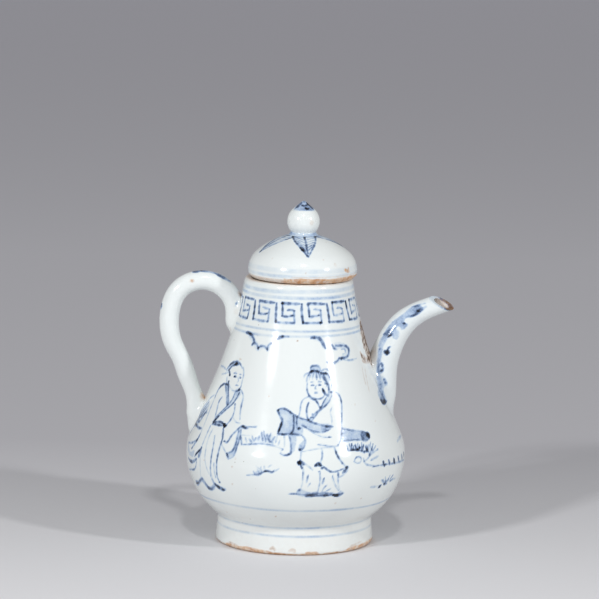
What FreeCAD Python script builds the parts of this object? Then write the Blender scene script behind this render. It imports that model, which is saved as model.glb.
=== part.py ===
import FreeCAD, Part
import math
import os

import Sketcher

# A porcelain ewer-shaped teapot, in millimetres. The origin is the centre of the foot's resting face,
# +Z is up, the spout points along +X and the handle along -X.

# Driving sizes. Each one is a cell of the sheet, and sketches and features are bound to the cells.
SIZES = {
    "foot_top_radius": 33.6,
    "foot_flare": 0.8,
    "foot_height": 12.2,
    "foot_wall": 5.0,
    "foot_bevel": 1.2,
    "foot_slip_size": 1.4,
    "belly_radius": 48.0,
    "belly_height": 39.5,
    "body_wall": 3.6,
    "floor_thickness": 5.0,
    "floor_round": 6.0,
    "shoulder_round": 20.5,
    "slope_straight": 25.8,
    "neck_angle": 10.4,
    "neck_straight": 4.0,
    "mouth_radius": 23.45,
    "rim_height": 116.5,
    "rim_round": 1.1,
    "strainer_hole": 3.0,
    "strainer_pitch": 4.2,
    "spout_root_rise": 28.6,
    "spout_heel_radius": 3.4,
    "spout_root_radius": 6.5,
    "spout_throat_radius": 6.1,
    "spout_tip_radius": 4.3,
    "spout_bore_root": 4.3,
    "spout_bore_tip": 2.7,
    "spout_reach": 62.7,
    "spout_tip_drop": 10.3,
    "spout_lip_angle": 29.0,
    "spout_lip_skew_angle": 18.0,
    "handle_top_drop": 18.8,
    "handle_crest_reach": 41.6,
    "handle_crest_drop": 2.1,
    "handle_bow_reach": 56.2,
    "handle_bow_drop": 19.7,
    "handle_waist_reach": 51.2,
    "handle_waist_drop": 36.5,
    "handle_foot_rise": 14.0,
    "handle_end_radius": 4.6,
    "handle_crest_radius": 4.3,
    "handle_bow_radius": 4.3,
    "handle_bury": 0.3,
    "lid_gap": 0.3,
    "lid_play": 2.0,
    "lid_shift": 1.6,
    "lid_radius": 23.8,
    "lid_tuck": 0.4,
    "lid_bevel": 1.3,
    "lid_widest_rise": 3.1,
    "lid_shoulder_round": 10.9,
    "lid_crown_round": 34.0,
    "lid_rise": 18.5,
    "lid_wall": 3.8,
    "flange_depth": 7.0,
    "flange_wall": 2.4,
    "knob_ball_radius": 7.1,
    "knob_ball_rise": 5.9,
    "knob_rise": 14.7,
    "knob_tip_round": 0.8,
    "knob_land": 6.0,
    "knob_slip_rise": 2.4,
}

# Expressions that several outlines share, written once.
SEAT = "(sizes.rim_height + sizes.lid_gap)"
CROWN = "(sizes.rim_height + sizes.lid_gap + sizes.lid_rise)"
BOWL_WIDENS = "(sizes.belly_radius - sizes.foot_top_radius)"
BOWL_RISES = "(sizes.belly_height - sizes.foot_height)"
BOWL_ROUND = f"(({BOWL_WIDENS} ^ 2 + {BOWL_RISES} ^ 2) / (2 * {BOWL_WIDENS}))"
FOOT_BASE = "(sizes.foot_top_radius + sizes.foot_flare)"
FOOT_BORE = f"({FOOT_BASE} - sizes.foot_wall)"
MOUTH_BORE = "(sizes.mouth_radius - sizes.body_wall / cos(sizes.neck_angle * 1 deg))"
FLANGE_RADIUS = f"({MOUTH_BORE} - sizes.lid_play)"
FLANGE_BORE = f"({FLANGE_RADIUS} - sizes.flange_wall)"
KNOB_ROOT = "sqrt(sizes.knob_ball_radius ^ 2 - sizes.knob_ball_rise ^ 2)"

# Where the sections of the spout and the handle lie along their length. The handle's crowd towards its ends,
# which are rounded off.
SPOUT_SHARES = [i / 11 for i in range(12)]
HANDLE_SHARES = [(1 - math.cos(math.pi * i / 21)) / 2 for i in range(22)]

START, END, CENTRE = 1, 2, 3
ORIGIN, UPRIGHT = -1, -2

doc = FreeCAD.newDocument("teapot")
sheet = doc.addObject("Spreadsheet::Sheet", "sizes")
for row, (alias, number) in enumerate(SIZES.items(), start=1):
    sheet.set(f"A{row}", alias)
    sheet.set(f"B{row}", str(number))
    sheet.setAlias(f"B{row}", alias)
doc.recompute()


def value(expression):
    """The number that an expression over the sheet gives."""
    return float(sheet.evalExpression(expression))


def size(alias):
    return value(f"sizes.{alias}")


def turned(angle):
    """The unit direction at an angle, in degrees, above the horizontal."""
    return FreeCAD.Vector(math.cos(math.radians(angle)), math.sin(math.radians(angle)), 0)


def point(x, z):
    return FreeCAD.Vector(x, z, 0)


class Outline:
    """A sketch of lines and arcs in one of a body's own planes, held by constraints."""

    def __init__(self, body, name, role="XZ_Plane"):
        planes = [plane for plane in body.Origin.OriginFeatures if plane.Role == role]
        self.sketch = body.newObject("Sketcher::SketchObject", name)
        self.sketch.AttachmentSupport = [(planes[0], "")]
        self.sketch.MapMode = "FlatFace"

    def line(self, start, end):
        return self.sketch.addGeometry(Part.LineSegment(start, end), False)

    def arc(self, centre, start, end):
        """The arc that runs anticlockwise from start to end."""
        first = math.atan2(start.y - centre.y, start.x - centre.x)
        last = math.atan2(end.y - centre.y, end.x - centre.x)
        circle = Part.Circle(centre, FreeCAD.Vector(0, 0, 1), (start - centre).Length)
        return self.sketch.addGeometry(Part.ArcOfCircle(circle, first, last), False)

    def circle(self, centre, radius):
        return self.sketch.addGeometry(Part.Circle(centre, FreeCAD.Vector(0, 0, 1), radius), False)

    def hold(self, *constraint):
        return self.sketch.addConstraint(Sketcher.Constraint(*constraint))

    def bind(self, expression, *constraint):
        number = value(expression)
        if constraint[0] == "Angle":
            number = math.radians(number)
        index = self.hold(*constraint, number)
        unit = " * 1 deg" if constraint[0] == "Angle" else ""
        self.sketch.setExpression(f"Constraints[{index}]", f"({expression}){unit}")

    def pin(self, edge, end, x=None, z=None):
        """Ties a point's distance from the axis, and its height, to the sheet."""
        if x is not None:
            self.bind(x, "DistanceX", ORIGIN, 1, edge, end)
        if z is not None:
            self.bind(z, "DistanceY", ORIGIN, 1, edge, end)

    def meet(self, edge, end, other, other_end):
        self.hold("Coincident", edge, end, other, other_end)

    def flow(self, edge, end, other, other_end):
        """Two edges that run on smoothly from one to the other."""
        self.hold("Tangent", edge, end, other, other_end)

    def corners(self, *places):
        """A closed outline of straight edges, each corner tied to two expressions."""
        spots = [point(value(x), value(z)) for x, z in places]
        edges = [self.line(spot, spots[(i + 1) % len(spots)]) for i, spot in enumerate(spots)]
        for i, (x, z) in enumerate(places):
            self.meet(edges[i - 1], END, edges[i], START)
            self.pin(edges[i], START, x, z)


def new_body(name):
    body = doc.addObject("PartDesign::Body", name)
    body.Label = name
    return body


def revolve(body, outline, name):
    feature = body.newObject("PartDesign::Revolution", name)
    feature.Profile = outline.sketch
    feature.ReferenceAxis = (outline.sketch, ["V_Axis"])
    feature.Angle = 360
    doc.recompute()
    return feature


def round_edges(body, base, name, circles, alias):
    """Rounds the circular edges that lie at the given radii and heights."""
    chosen = []
    for number, edge in enumerate(base.Shape.Edges, start=1):
        curve = edge.Curve
        for radius, height in circles:
            if isinstance(curve, Part.Circle):
                if math.hypot(curve.Radius - radius, curve.Center.z - height) < 0.001:
                    chosen.append(f"Edge{number}")
    feature = body.newObject("PartDesign::Fillet", name)
    feature.Base = (base, chosen)
    feature.setExpression("Radius", f"sizes.{alias}")
    doc.recompute()
    return feature


# The pot's wall above the widest line: a shoulder arc, a straight slope, a long hollow bend and a straight
# neck. The inner face is the same run, one wall further in.

def wall_run(inset):
    """Arc centres and the points where the wall's stretches join, at a distance inside the outer face."""
    taper, shoulder = size("neck_angle"), size("shoulder_round")
    shoulder_centre = point(size("belly_radius") - shoulder, size("belly_height"))
    rim = point(size("mouth_radius"), size("rim_height"))
    along = size("neck_straight") / math.cos(math.radians(taper))
    bend_top = rim - turned(taper + 90) * along
    # The bend's chord lies halfway between the slope's direction and the neck's, which gives the slope.
    climb = bend_top - shoulder_centre
    straight = size("slope_straight")
    half_turn = math.atan2(shoulder - climb.dot(turned(taper)), straight + climb.dot(turned(taper + 90)))
    slope = taper + 2 * math.degrees(half_turn)
    chord = climb - turned(slope) * shoulder - turned(slope + 90) * straight
    bend = chord.Length / (2 * math.sin(half_turn))
    bend_centre = bend_top + turned(taper) * bend
    run = {
        "slope": slope,
        "bend": bend,
        "shoulder_centre": shoulder_centre,
        "bend_centre": bend_centre,
        "belly": shoulder_centre + turned(0) * (shoulder - inset),
        "slope_foot": shoulder_centre + turned(slope) * (shoulder - inset),
        "slope_top": bend_centre - turned(slope) * (bend + inset),
        "bend_top": bend_centre - turned(taper) * (bend + inset),
    }
    neck = (rim.y - run["bend_top"].y) / math.cos(math.radians(taper))
    run["rim"] = run["bend_top"] + turned(taper + 90) * neck
    return run


def wall_radius(height):
    """The outer face's distance from the axis at a height above the widest line."""
    run = wall_run(0)
    if height < run["slope_foot"].y:
        lift = height - run["shoulder_centre"].y
        return run["shoulder_centre"].x + math.sqrt(size("shoulder_round") ** 2 - lift ** 2)
    if height < run["slope_top"].y:
        return run["slope_foot"].x - (height - run["slope_foot"].y) * math.tan(math.radians(run["slope"]))
    if height < run["bend_top"].y:
        drop = run["bend_centre"].y - height
        return run["bend_centre"].x - math.sqrt(run["bend"] ** 2 - drop ** 2)
    return run["rim"].x + (run["rim"].y - height) * math.tan(math.radians(size("neck_angle")))


def draw_wall(outline, inset):
    """Adds the wall's run to a sketch, smooth from stretch to stretch."""
    run = wall_run(inset)
    shoulder = outline.arc(run["shoulder_centre"], run["belly"], run["slope_foot"])
    slope = outline.line(run["slope_foot"], run["slope_top"])
    bend = outline.arc(run["bend_centre"], run["bend_top"], run["slope_top"])
    neck = outline.line(run["bend_top"], run["rim"])
    outline.flow(shoulder, END, slope, START)
    outline.flow(slope, END, bend, END)
    outline.flow(bend, START, neck, START)
    return shoulder, slope, bend, neck


def hold_outer_wall(outline, shoulder, slope, neck):
    """Ties the outer face to the sheet: belly, shoulder, slope, neck and rim."""
    outline.pin(shoulder, START, "sizes.belly_radius", "sizes.belly_height")
    outline.pin(shoulder, CENTRE, None, "sizes.belly_height")
    outline.bind("sizes.shoulder_round", "Radius", shoulder)
    outline.bind("sizes.slope_straight", "Distance", slope)
    outline.pin(neck, END, "sizes.mouth_radius", "sizes.rim_height")
    outline.bind("sizes.rim_height - sizes.neck_straight", "DistanceY", ORIGIN, 1, neck, START)
    outline.bind("90 + sizes.neck_angle", "Angle", neck)


def make_foot_ring():
    """Turned ring under the bowl, bevelled inside and outside of its narrow resting face."""
    body = new_body("foot_ring")
    outline = Outline(body, "foot_section")
    outline.corners(
        (f"{FOOT_BORE} + sizes.foot_bevel", "0"),
        (f"{FOOT_BASE} - sizes.foot_bevel", "0"),
        (FOOT_BASE, "sizes.foot_bevel"),
        ("sizes.foot_top_radius", "sizes.foot_height"),
        (FOOT_BORE, "sizes.foot_height"),
        (FOOT_BORE, "sizes.foot_bevel"),
    )
    revolve(body, outline, "foot_turning")
    return body


def make_foot_slip():
    """Bead of luting slip in the corner between the foot ring and the belly."""
    body = new_body("foot_slip")
    outline = Outline(body, "slip_section")
    bead = "sizes.foot_slip_size"
    spread = "sizes.foot_flare / (sizes.foot_height - sizes.foot_bevel)"
    corner = point(size("foot_top_radius"), size("foot_height"))
    centre = point(size("belly_radius") - value(BOWL_ROUND), size("belly_height"))
    low = point(value(f"sizes.foot_top_radius + {bead} * {spread}"), value(f"sizes.foot_height - {bead}"))
    lift = value(f"sizes.foot_height + {bead}")
    high = point(centre.x + math.sqrt(value(BOWL_ROUND) ** 2 - (centre.y - lift) ** 2), lift)
    seat = outline.arc(centre, corner, high)
    face = outline.line(high, low)
    stand = outline.line(low, corner)
    outline.meet(seat, END, face, START)
    outline.meet(face, END, stand, START)
    outline.meet(stand, END, seat, START)
    outline.pin(seat, START, "sizes.foot_top_radius", "sizes.foot_height")
    outline.pin(seat, CENTRE, f"sizes.belly_radius - {BOWL_ROUND}", "sizes.belly_height")
    outline.pin(face, START, None, f"sizes.foot_height + {bead}")
    outline.pin(stand, START, f"sizes.foot_top_radius + {bead} * {spread}", f"sizes.foot_height - {bead}")
    revolve(body, outline, "slip_bead")
    return body


def make_body_lower():
    """Thrown bowl: flat floor, rounded inside corner, belly wall up to the widest line."""
    body = new_body("body_lower")
    outline = Outline(body, "bowl_section")
    centre = point(size("belly_radius") - value(BOWL_ROUND), size("belly_height"))
    inner_round = value(BOWL_ROUND) - size("body_wall")
    floor = value("sizes.foot_height + sizes.floor_thickness")
    corner_round = size("floor_round")
    corner_drop = centre.y - floor - corner_round
    corner_centre = point(centre.x, floor + corner_round)
    corner_centre.x += math.sqrt((inner_round - corner_round) ** 2 - corner_drop ** 2)
    away = (corner_centre - centre).normalize()
    corner_start = corner_centre - point(0, corner_round)
    corner_end = centre + away * inner_round
    base = point(size("foot_top_radius"), size("foot_height"))
    seam_out = point(size("belly_radius"), size("belly_height"))
    seam_in = centre + turned(0) * inner_round
    under = outline.line(point(0, base.y), base)
    belly = outline.arc(centre, base, seam_out)
    seam = outline.line(seam_out, seam_in)
    inside = outline.arc(centre, corner_end, seam_in)
    corner = outline.arc(corner_centre, corner_start, corner_end)
    floor_top = outline.line(corner_start, point(0, floor))
    axis = outline.line(point(0, floor), point(0, base.y))
    outline.meet(under, END, belly, START)
    outline.meet(belly, END, seam, START)
    outline.meet(seam, END, inside, END)
    outline.flow(inside, START, corner, END)
    outline.flow(corner, START, floor_top, START)
    outline.meet(floor_top, END, axis, START)
    outline.meet(axis, END, under, START)
    outline.hold("PointOnObject", axis, START, UPRIGHT)
    outline.hold("PointOnObject", axis, END, UPRIGHT)
    outline.hold("Horizontal", under)
    outline.hold("Horizontal", seam)
    outline.hold("Horizontal", floor_top)
    outline.pin(belly, START, "sizes.foot_top_radius", "sizes.foot_height")
    outline.pin(belly, END, "sizes.belly_radius", "sizes.belly_height")
    outline.pin(belly, CENTRE, None, "sizes.belly_height")
    outline.meet(inside, CENTRE, belly, CENTRE)
    outline.bind(f"{BOWL_ROUND} - sizes.body_wall", "Radius", inside)
    outline.bind("sizes.floor_round", "Radius", corner)
    outline.pin(axis, START, None, "sizes.foot_height + sizes.floor_thickness")
    revolve(body, outline, "bowl_throwing")
    return body


def make_body_upper():
    """Thrown shoulder and neck, open at the seam below and the mouth above, pierced behind the spout."""
    body = new_body("body_upper")
    outline = Outline(body, "neck_section")
    shoulder, slope, bend, neck = draw_wall(outline, 0)
    in_shoulder, in_slope, in_bend, in_neck = draw_wall(outline, size("body_wall"))
    outer, inner = wall_run(0), wall_run(size("body_wall"))
    seam = outline.line(outer["belly"], inner["belly"])
    rim = outline.line(outer["rim"], inner["rim"])
    outline.meet(seam, START, shoulder, START)
    outline.meet(seam, END, in_shoulder, START)
    outline.meet(rim, START, neck, END)
    outline.meet(rim, END, in_neck, END)
    hold_outer_wall(outline, shoulder, slope, neck)
    outline.meet(in_shoulder, CENTRE, shoulder, CENTRE)
    outline.meet(in_bend, CENTRE, bend, CENTRE)
    outline.bind("sizes.shoulder_round - sizes.body_wall", "Radius", in_shoulder)
    outline.hold("Parallel", in_slope, slope)
    outline.hold("Parallel", in_neck, neck)
    outline.hold("Horizontal", seam)
    outline.hold("Horizontal", rim)
    thrown = revolve(body, outline, "neck_throwing")
    edges = [(size("mouth_radius"), size("rim_height")), (value(MOUTH_BORE), size("rim_height"))]
    rounded = round_edges(body, thrown, "rim_rounding", edges, "rim_round")
    pierce_strainer(body, rounded)
    return body


def pierce_strainer(body, thrown):
    """Two columns of three holes through the wall, inside the spout's root."""
    outline = Outline(body, "strainer_holes", "YZ_Plane")
    root = "(sizes.belly_height + sizes.spout_root_rise)"
    for column in (-1, 1):
        for row in (-1, 0, 1):
            across = value("sizes.strainer_pitch / 2") * column
            height = f"{root} + {row} * sizes.strainer_pitch"
            hole = outline.circle(point(across, value(height)), size("strainer_hole") / 2)
            outline.bind("sizes.strainer_hole / 2", "Radius", hole)
            outline.bind(f"{column} * sizes.strainer_pitch / 2", "DistanceX", ORIGIN, 1, hole, CENTRE)
            outline.bind(height, "DistanceY", ORIGIN, 1, hole, CENTRE)
    before = thrown.Shape.Volume
    holes = body.newObject("PartDesign::Pocket", "strainer")
    holes.Profile = outline.sketch
    holes.Type = "ThroughAll"
    holes.Reversed = True
    doc.recompute()
    removed = before - holes.Shape.Volume
    print(f"strainer holes take {removed:.1f} mm3 out of the wall")
    if removed <= 0:
        raise RuntimeError("the strainer holes cut nothing")


def make_wall_template():
    """The pot's outer form as one solid, which trims the spout's and the handle's ends to the wall."""
    body = new_body("wall_template")
    outline = Outline(body, "wall_section")
    shoulder, slope, _, neck = draw_wall(outline, 0)
    run = wall_run(0)
    foot = point(0, run["belly"].y)
    head = point(0, run["rim"].y)
    low = outline.line(foot, run["belly"])
    top = outline.line(run["rim"], head)
    axis = outline.line(head, foot)
    outline.meet(low, END, shoulder, START)
    outline.meet(top, START, neck, END)
    outline.meet(top, END, axis, START)
    outline.meet(axis, END, low, START)
    outline.hold("PointOnObject", axis, START, UPRIGHT)
    outline.hold("PointOnObject", axis, END, UPRIGHT)
    outline.hold("Horizontal", low)
    outline.hold("Horizontal", top)
    hold_outer_wall(outline, shoulder, slope, neck)
    revolve(body, outline, "wall_form")
    return body


def loft(body, kind, name, stations, shares):
    """A tube through round sections at shares of its length, square to the smooth line through the stations."""
    path = Part.BSplineCurve()
    path.interpolate([FreeCAD.Vector(x, 0, z) for x, z, _ in stations])
    knots = [path.parameter(FreeCAD.Vector(x, 0, z)) for x, z, _ in stations]
    sections = []
    for number, travelled in enumerate(shares, start=1):
        place = path.parameterAtDistance(path.length() * travelled, path.FirstParameter)
        before = max(i for i in range(len(knots) - 1) if i == 0 or knots[i] < place)
        share = (place - knots[before]) / (knots[before + 1] - knots[before])
        radius = f"{stations[before][2]} * {1 - share:.4f} + {stations[before + 1][2]} * {share:.4f}"
        along = path.tangent(place)[0]
        turn = FreeCAD.Rotation(FreeCAD.Vector(0, 1, 0), math.degrees(math.atan2(along.x, along.z)))
        outline = Outline(body, f"{name}_section_{number}", "XY_Plane")
        outline.sketch.AttachmentOffset = FreeCAD.Placement(path.value(place), turn)
        ring = outline.circle(point(0, 0), value(radius))
        outline.meet(ring, CENTRE, ORIGIN, 1)
        outline.bind(radius, "Radius", ring)
        sections.append(outline.sketch)
    feature = body.newObject(kind, name)
    feature.Profile = sections[0]
    feature.Sections = sections[1:]
    doc.recompute()
    return feature


def spout_line():
    """The spout's centre line: up beside the wall, then bending outwards to the tip."""
    root_z = value("sizes.belly_height + sizes.spout_root_rise")
    root_x = wall_radius(root_z)
    tip_x = size("spout_reach")
    tip_z = value("sizes.rim_height - sizes.spout_tip_drop")
    across, up = tip_x - root_x, tip_z - root_z
    shares = [(0.0, -0.32), (0.0, -0.15), (0.0, 0.0), (0.015, 0.28), (0.115, 0.525), (0.33, 0.76), (0.64, 0.905)]
    line = [(root_x + across * share_x, root_z + up * share_z) for share_x, share_z in shares]
    last_x, last_z = line[-1]
    return line + [(tip_x, tip_z), (2 * tip_x - last_x, 2 * tip_z - last_z)]


def make_spout(wall_template):
    """Hollow tapered tube, seated on the shoulder and cut off obliquely at the lip."""
    body = new_body("spout_tube")
    line = spout_line()
    root, throat, tip = (f"sizes.spout_{place}_radius" for place in ("root", "throat", "tip"))
    heel = "sizes.spout_heel_radius"
    outer = [heel, f"({heel} + 5 * {root}) / 6", root, root, throat]
    outer += [f"({throat} * 2 + {tip}) / 3", f"({throat} + {tip} * 4) / 5", tip, tip]
    bore_root, bore_tip = "sizes.spout_bore_root", "sizes.spout_bore_tip"
    inner = [bore_root] * 4 + [f"({bore_root} * {4 - i} + {bore_tip} * {i}) / 4" for i in (1, 2, 3, 4)]
    inner.append(bore_tip)
    form = [(x, z, radius) for (x, z), radius in zip(line, outer)]
    bore = [(x, z, radius) for (x, z), radius in zip(line, inner)]
    loft(body, "PartDesign::AdditiveLoft", "spout_form", form, SPOUT_SHARES)
    loft(body, "PartDesign::SubtractiveLoft", "spout_bore", bore, SPOUT_SHARES)
    seated = doc.addObject("Part::Cut", "spout_seated")
    seated.Base = body
    seated.Tool = wall_template
    # The lip's cutter is a block whose lower face leans down towards the tip, and a little to one side.
    cutter = doc.addObject("Part::Box", "lip_cutter")
    for side in ("Length", "Width", "Height"):
        cutter.setExpression(side, "12 * sizes.spout_tip_radius")
    reach = value("6 * sizes.spout_tip_radius")
    tip_x, tip_z = line[-2]
    lean = FreeCAD.Rotation(FreeCAD.Vector(0, 1, 0), size("spout_lip_angle"))
    turn = lean * FreeCAD.Rotation(FreeCAD.Vector(1, 0, 0), size("spout_lip_skew_angle"))
    corner = FreeCAD.Vector(tip_x, 0, tip_z) + turn.multVec(FreeCAD.Vector(-reach, -reach, 0))
    cutter.Placement = FreeCAD.Placement(corner, turn)
    spout = doc.addObject("Part::Cut", "spout")
    spout.Base = seated
    spout.Tool = cutter
    spout.Label = "spout"
    doc.recompute()
    return spout


def handle_stations():
    """The handle's centre line and thickness: up the neck, over the crest, down the bow and in to the belly."""
    end, crest_r, bow_r = (f"sizes.handle_{place}_radius" for place in ("end", "crest", "bow"))
    rim = size("rim_height")
    top, crest, bow, waist = (rim - size(f"handle_{place}_drop") for place in ("top", "crest", "bow", "waist"))
    foot = value("sizes.belly_height + sizes.handle_foot_rise")
    rise = top + 0.4 * (crest - top)
    stand = wall_radius(rise) + 0.6 * size("handle_end_radius")
    crest_x, bow_x, waist_x = (size(f"handle_{place}_reach") for place in ("crest", "bow", "waist"))
    low = foot + 0.4 * (waist - foot)
    low_x = wall_radius(low) + 0.525 * (waist_x - wall_radius(low))

    def pressed(height, drop, share):
        """A station of a pressed end, which lies on the wall and rounds off downwards."""
        spot = height - drop * size("handle_end_radius")
        return -(wall_radius(spot) - size("handle_bury")), spot, f"{end} * {share}"

    return [
        pressed(top, 1.15, 0.3),
        pressed(top, 0.75, 0.75),
        pressed(top, 0.0, 1.0),
        (-stand, rise, f"({end} + {crest_r}) / 2"),
        (-(stand + 0.36 * (crest_x - stand)), rise + 0.69 * (crest - rise), crest_r),
        (-crest_x, crest, crest_r),
        (-(crest_x + 0.64 * (bow_x - crest_x)), bow + 0.81 * (crest - bow), f"({crest_r} + {bow_r}) / 2"),
        (-bow_x, bow, bow_r),
        (-(waist_x + 0.62 * (bow_x - waist_x)), waist + 0.38 * (bow - waist), f"{bow_r} * 0.97"),
        (-waist_x, waist, f"{bow_r} * 0.85"),
        (-low_x, low, f"{end} * 0.78"),
        pressed(foot, 0.0, 1.0),
        pressed(foot, 0.75, 0.6),
        pressed(foot, 1.15, 0.3),
    ]


def make_handle(wall_template):
    """Rolled strap, thicker where its rounded ends are pressed on the wall."""
    body = new_body("handle_strap")
    loft(body, "PartDesign::AdditiveLoft", "handle_form", handle_stations(), HANDLE_SHARES)
    handle = doc.addObject("Part::Cut", "handle")
    handle.Base = body
    handle.Tool = wall_template
    handle.Label = "handle"
    doc.recompute()
    return handle


def make_lid_dome():
    """Domed cover: bevelled edge, full shoulder, flatter crown with a land for the knob, hollow beneath."""
    body = new_body("lid_dome")
    outline = Outline(body, "lid_section")
    seat, crown = value(SEAT), value(CROWN)
    widest = seat + size("lid_widest_rise")
    shoulder, cap = size("lid_shoulder_round"), size("lid_crown_round")
    land = point(size("knob_land"), crown)
    edge_in = point(value(FLANGE_BORE), seat)
    edge_out = point(value("sizes.lid_radius - sizes.lid_tuck - sizes.lid_bevel"), seat)
    bevel_top = point(value("sizes.lid_radius - sizes.lid_tuck"), seat + size("lid_bevel"))
    full = point(size("lid_radius"), widest)
    tuck, drop = size("lid_tuck"), widest - bevel_top.y
    side_centre = point(size("lid_radius") - (tuck ** 2 + drop ** 2) / (2 * tuck), widest)
    shoulder_centre = point(size("lid_radius") - shoulder, widest)
    to_land = land - shoulder_centre
    reach = (cap ** 2 - (cap - shoulder) ** 2 - to_land.Length ** 2) / (2 * (cap - shoulder))
    turn = math.degrees(math.atan2(to_land.y, to_land.x) - math.acos(reach / to_land.Length))
    break_point = shoulder_centre + turned(turn) * shoulder
    cap_centre = shoulder_centre - turned(turn) * (cap - shoulder)
    roof = crown - size("lid_wall")
    hollow = roof - seat
    hollow_centre = point(0, roof - (edge_in.x ** 2 + hollow ** 2) / (2 * hollow))
    rest = outline.line(edge_in, edge_out)
    bevel = outline.line(edge_out, bevel_top)
    side = outline.arc(side_centre, bevel_top, full)
    turn_over = outline.arc(shoulder_centre, full, break_point)
    dome = outline.arc(cap_centre, break_point, land)
    top = outline.line(land, point(0, crown))
    axis = outline.line(point(0, crown), point(0, roof))
    under = outline.arc(hollow_centre, edge_in, point(0, roof))
    outline.meet(rest, END, bevel, START)
    outline.meet(bevel, END, side, START)
    outline.flow(side, END, turn_over, START)
    outline.flow(turn_over, END, dome, START)
    outline.meet(dome, END, top, START)
    outline.meet(top, END, axis, START)
    outline.meet(axis, END, under, END)
    outline.meet(under, START, rest, START)
    outline.hold("PointOnObject", axis, START, UPRIGHT)
    outline.hold("PointOnObject", axis, END, UPRIGHT)
    outline.hold("PointOnObject", under, CENTRE, UPRIGHT)
    outline.pin(rest, START, FLANGE_BORE, SEAT)
    outline.pin(rest, END, "sizes.lid_radius - sizes.lid_tuck - sizes.lid_bevel", SEAT)
    outline.pin(bevel, END, "sizes.lid_radius - sizes.lid_tuck", f"{SEAT} + sizes.lid_bevel")
    outline.pin(side, END, "sizes.lid_radius", f"{SEAT} + sizes.lid_widest_rise")
    outline.pin(side, CENTRE, None, f"{SEAT} + sizes.lid_widest_rise")
    outline.bind("sizes.lid_shoulder_round", "Radius", turn_over)
    outline.bind("sizes.lid_crown_round", "Radius", dome)
    outline.pin(top, START, "sizes.knob_land", CROWN)
    outline.pin(axis, START, None, CROWN)
    outline.pin(axis, END, None, f"{CROWN} - sizes.lid_wall")
    revolve(body, outline, "lid_throwing")
    return body


def make_lid_flange():
    """Locating collar under the lid, which drops into the mouth with a little play."""
    body = new_body("lid_flange")
    outline = Outline(body, "flange_section")
    foot = f"{SEAT} - sizes.flange_depth"
    chamfer = "sizes.flange_wall / 3"
    outline.corners(
        (FLANGE_BORE, foot),
        (f"{FLANGE_RADIUS} - {chamfer}", foot),
        (FLANGE_RADIUS, f"{foot} + {chamfer}"),
        (FLANGE_RADIUS, SEAT),
        (FLANGE_BORE, SEAT),
    )
    revolve(body, outline, "flange_turning")
    return body


def make_lid_knob():
    """Ball finial that runs out into a blunt point."""
    body = new_body("lid_knob")
    outline = Outline(body, "knob_section")
    ball, tip_round = size("knob_ball_radius"), size("knob_tip_round")
    crown = value(CROWN)
    centre = point(0, crown + size("knob_ball_rise"))
    tip = point(0, crown + size("knob_rise"))
    tip_centre = tip - point(0, tip_round)
    lean = math.degrees(math.asin((ball - tip_round) / (tip_centre.y - centre.y)))
    root = point(value(KNOB_ROOT), crown)
    ball_end = centre + turned(lean) * ball
    tip_start = tip_centre + turned(lean) * tip_round
    base = outline.line(point(0, crown), root)
    round_side = outline.arc(centre, root, ball_end)
    cone = outline.line(ball_end, tip_start)
    point_end = outline.arc(tip_centre, tip_start, tip)
    axis = outline.line(tip, point(0, crown))
    outline.meet(base, END, round_side, START)
    outline.flow(round_side, END, cone, START)
    outline.flow(cone, END, point_end, START)
    outline.meet(point_end, END, axis, START)
    outline.meet(axis, END, base, START)
    outline.hold("PointOnObject", axis, START, UPRIGHT)
    outline.hold("PointOnObject", axis, END, UPRIGHT)
    outline.hold("PointOnObject", round_side, CENTRE, UPRIGHT)
    outline.hold("PointOnObject", point_end, CENTRE, UPRIGHT)
    outline.hold("Horizontal", base)
    outline.bind("sizes.knob_ball_radius", "Radius", round_side)
    outline.bind("sizes.knob_tip_round", "Radius", point_end)
    outline.pin(round_side, CENTRE, None, f"{CROWN} + sizes.knob_ball_rise")
    outline.pin(axis, START, None, f"{CROWN} + sizes.knob_rise")
    outline.pin(axis, END, None, CROWN)
    revolve(body, outline, "knob_turning")
    return body


def make_knob_slip():
    """Bead of luting slip under the ball, filling the lid's land round the knob's root."""
    body = new_body("knob_slip")
    outline = Outline(body, "knob_slip_section")
    crown = value(CROWN)
    centre = point(0, crown + size("knob_ball_rise"))
    root = point(value(KNOB_ROOT), crown)
    land = point(size("knob_land"), crown)
    lift = size("knob_slip_rise")
    below = size("knob_ball_rise") - lift
    high = point(math.sqrt(size("knob_ball_radius") ** 2 - below ** 2), crown + lift)
    base = outline.line(root, land)
    face = outline.line(land, high)
    seat = outline.arc(centre, root, high)
    outline.meet(base, END, face, START)
    outline.meet(face, END, seat, END)
    outline.meet(seat, START, base, START)
    outline.pin(base, START, None, CROWN)
    outline.pin(base, END, "sizes.knob_land", CROWN)
    outline.hold("PointOnObject", seat, CENTRE, UPRIGHT)
    outline.pin(seat, CENTRE, None, f"{CROWN} + sizes.knob_ball_rise")
    outline.bind("sizes.knob_ball_radius", "Radius", seat)
    outline.pin(face, END, None, f"{CROWN} + sizes.knob_slip_rise")
    revolve(body, outline, "knob_slip_bead")
    return body


wall_template = make_wall_template()
pot_pieces = [
    make_foot_ring(),
    make_foot_slip(),
    make_body_lower(),
    make_body_upper(),
    make_spout(wall_template),
    make_handle(wall_template),
]
lid_pieces = [
    make_lid_dome(),
    make_lid_flange(),
    make_lid_knob(),
    make_knob_slip(),
]
# The lid lies to one side in the mouth, by less than its play.
for piece in lid_pieces:
    piece.setExpression("Placement.Base.x", "sizes.lid_shift")
pieces = pot_pieces + lid_pieces
doc.recompute()

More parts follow.
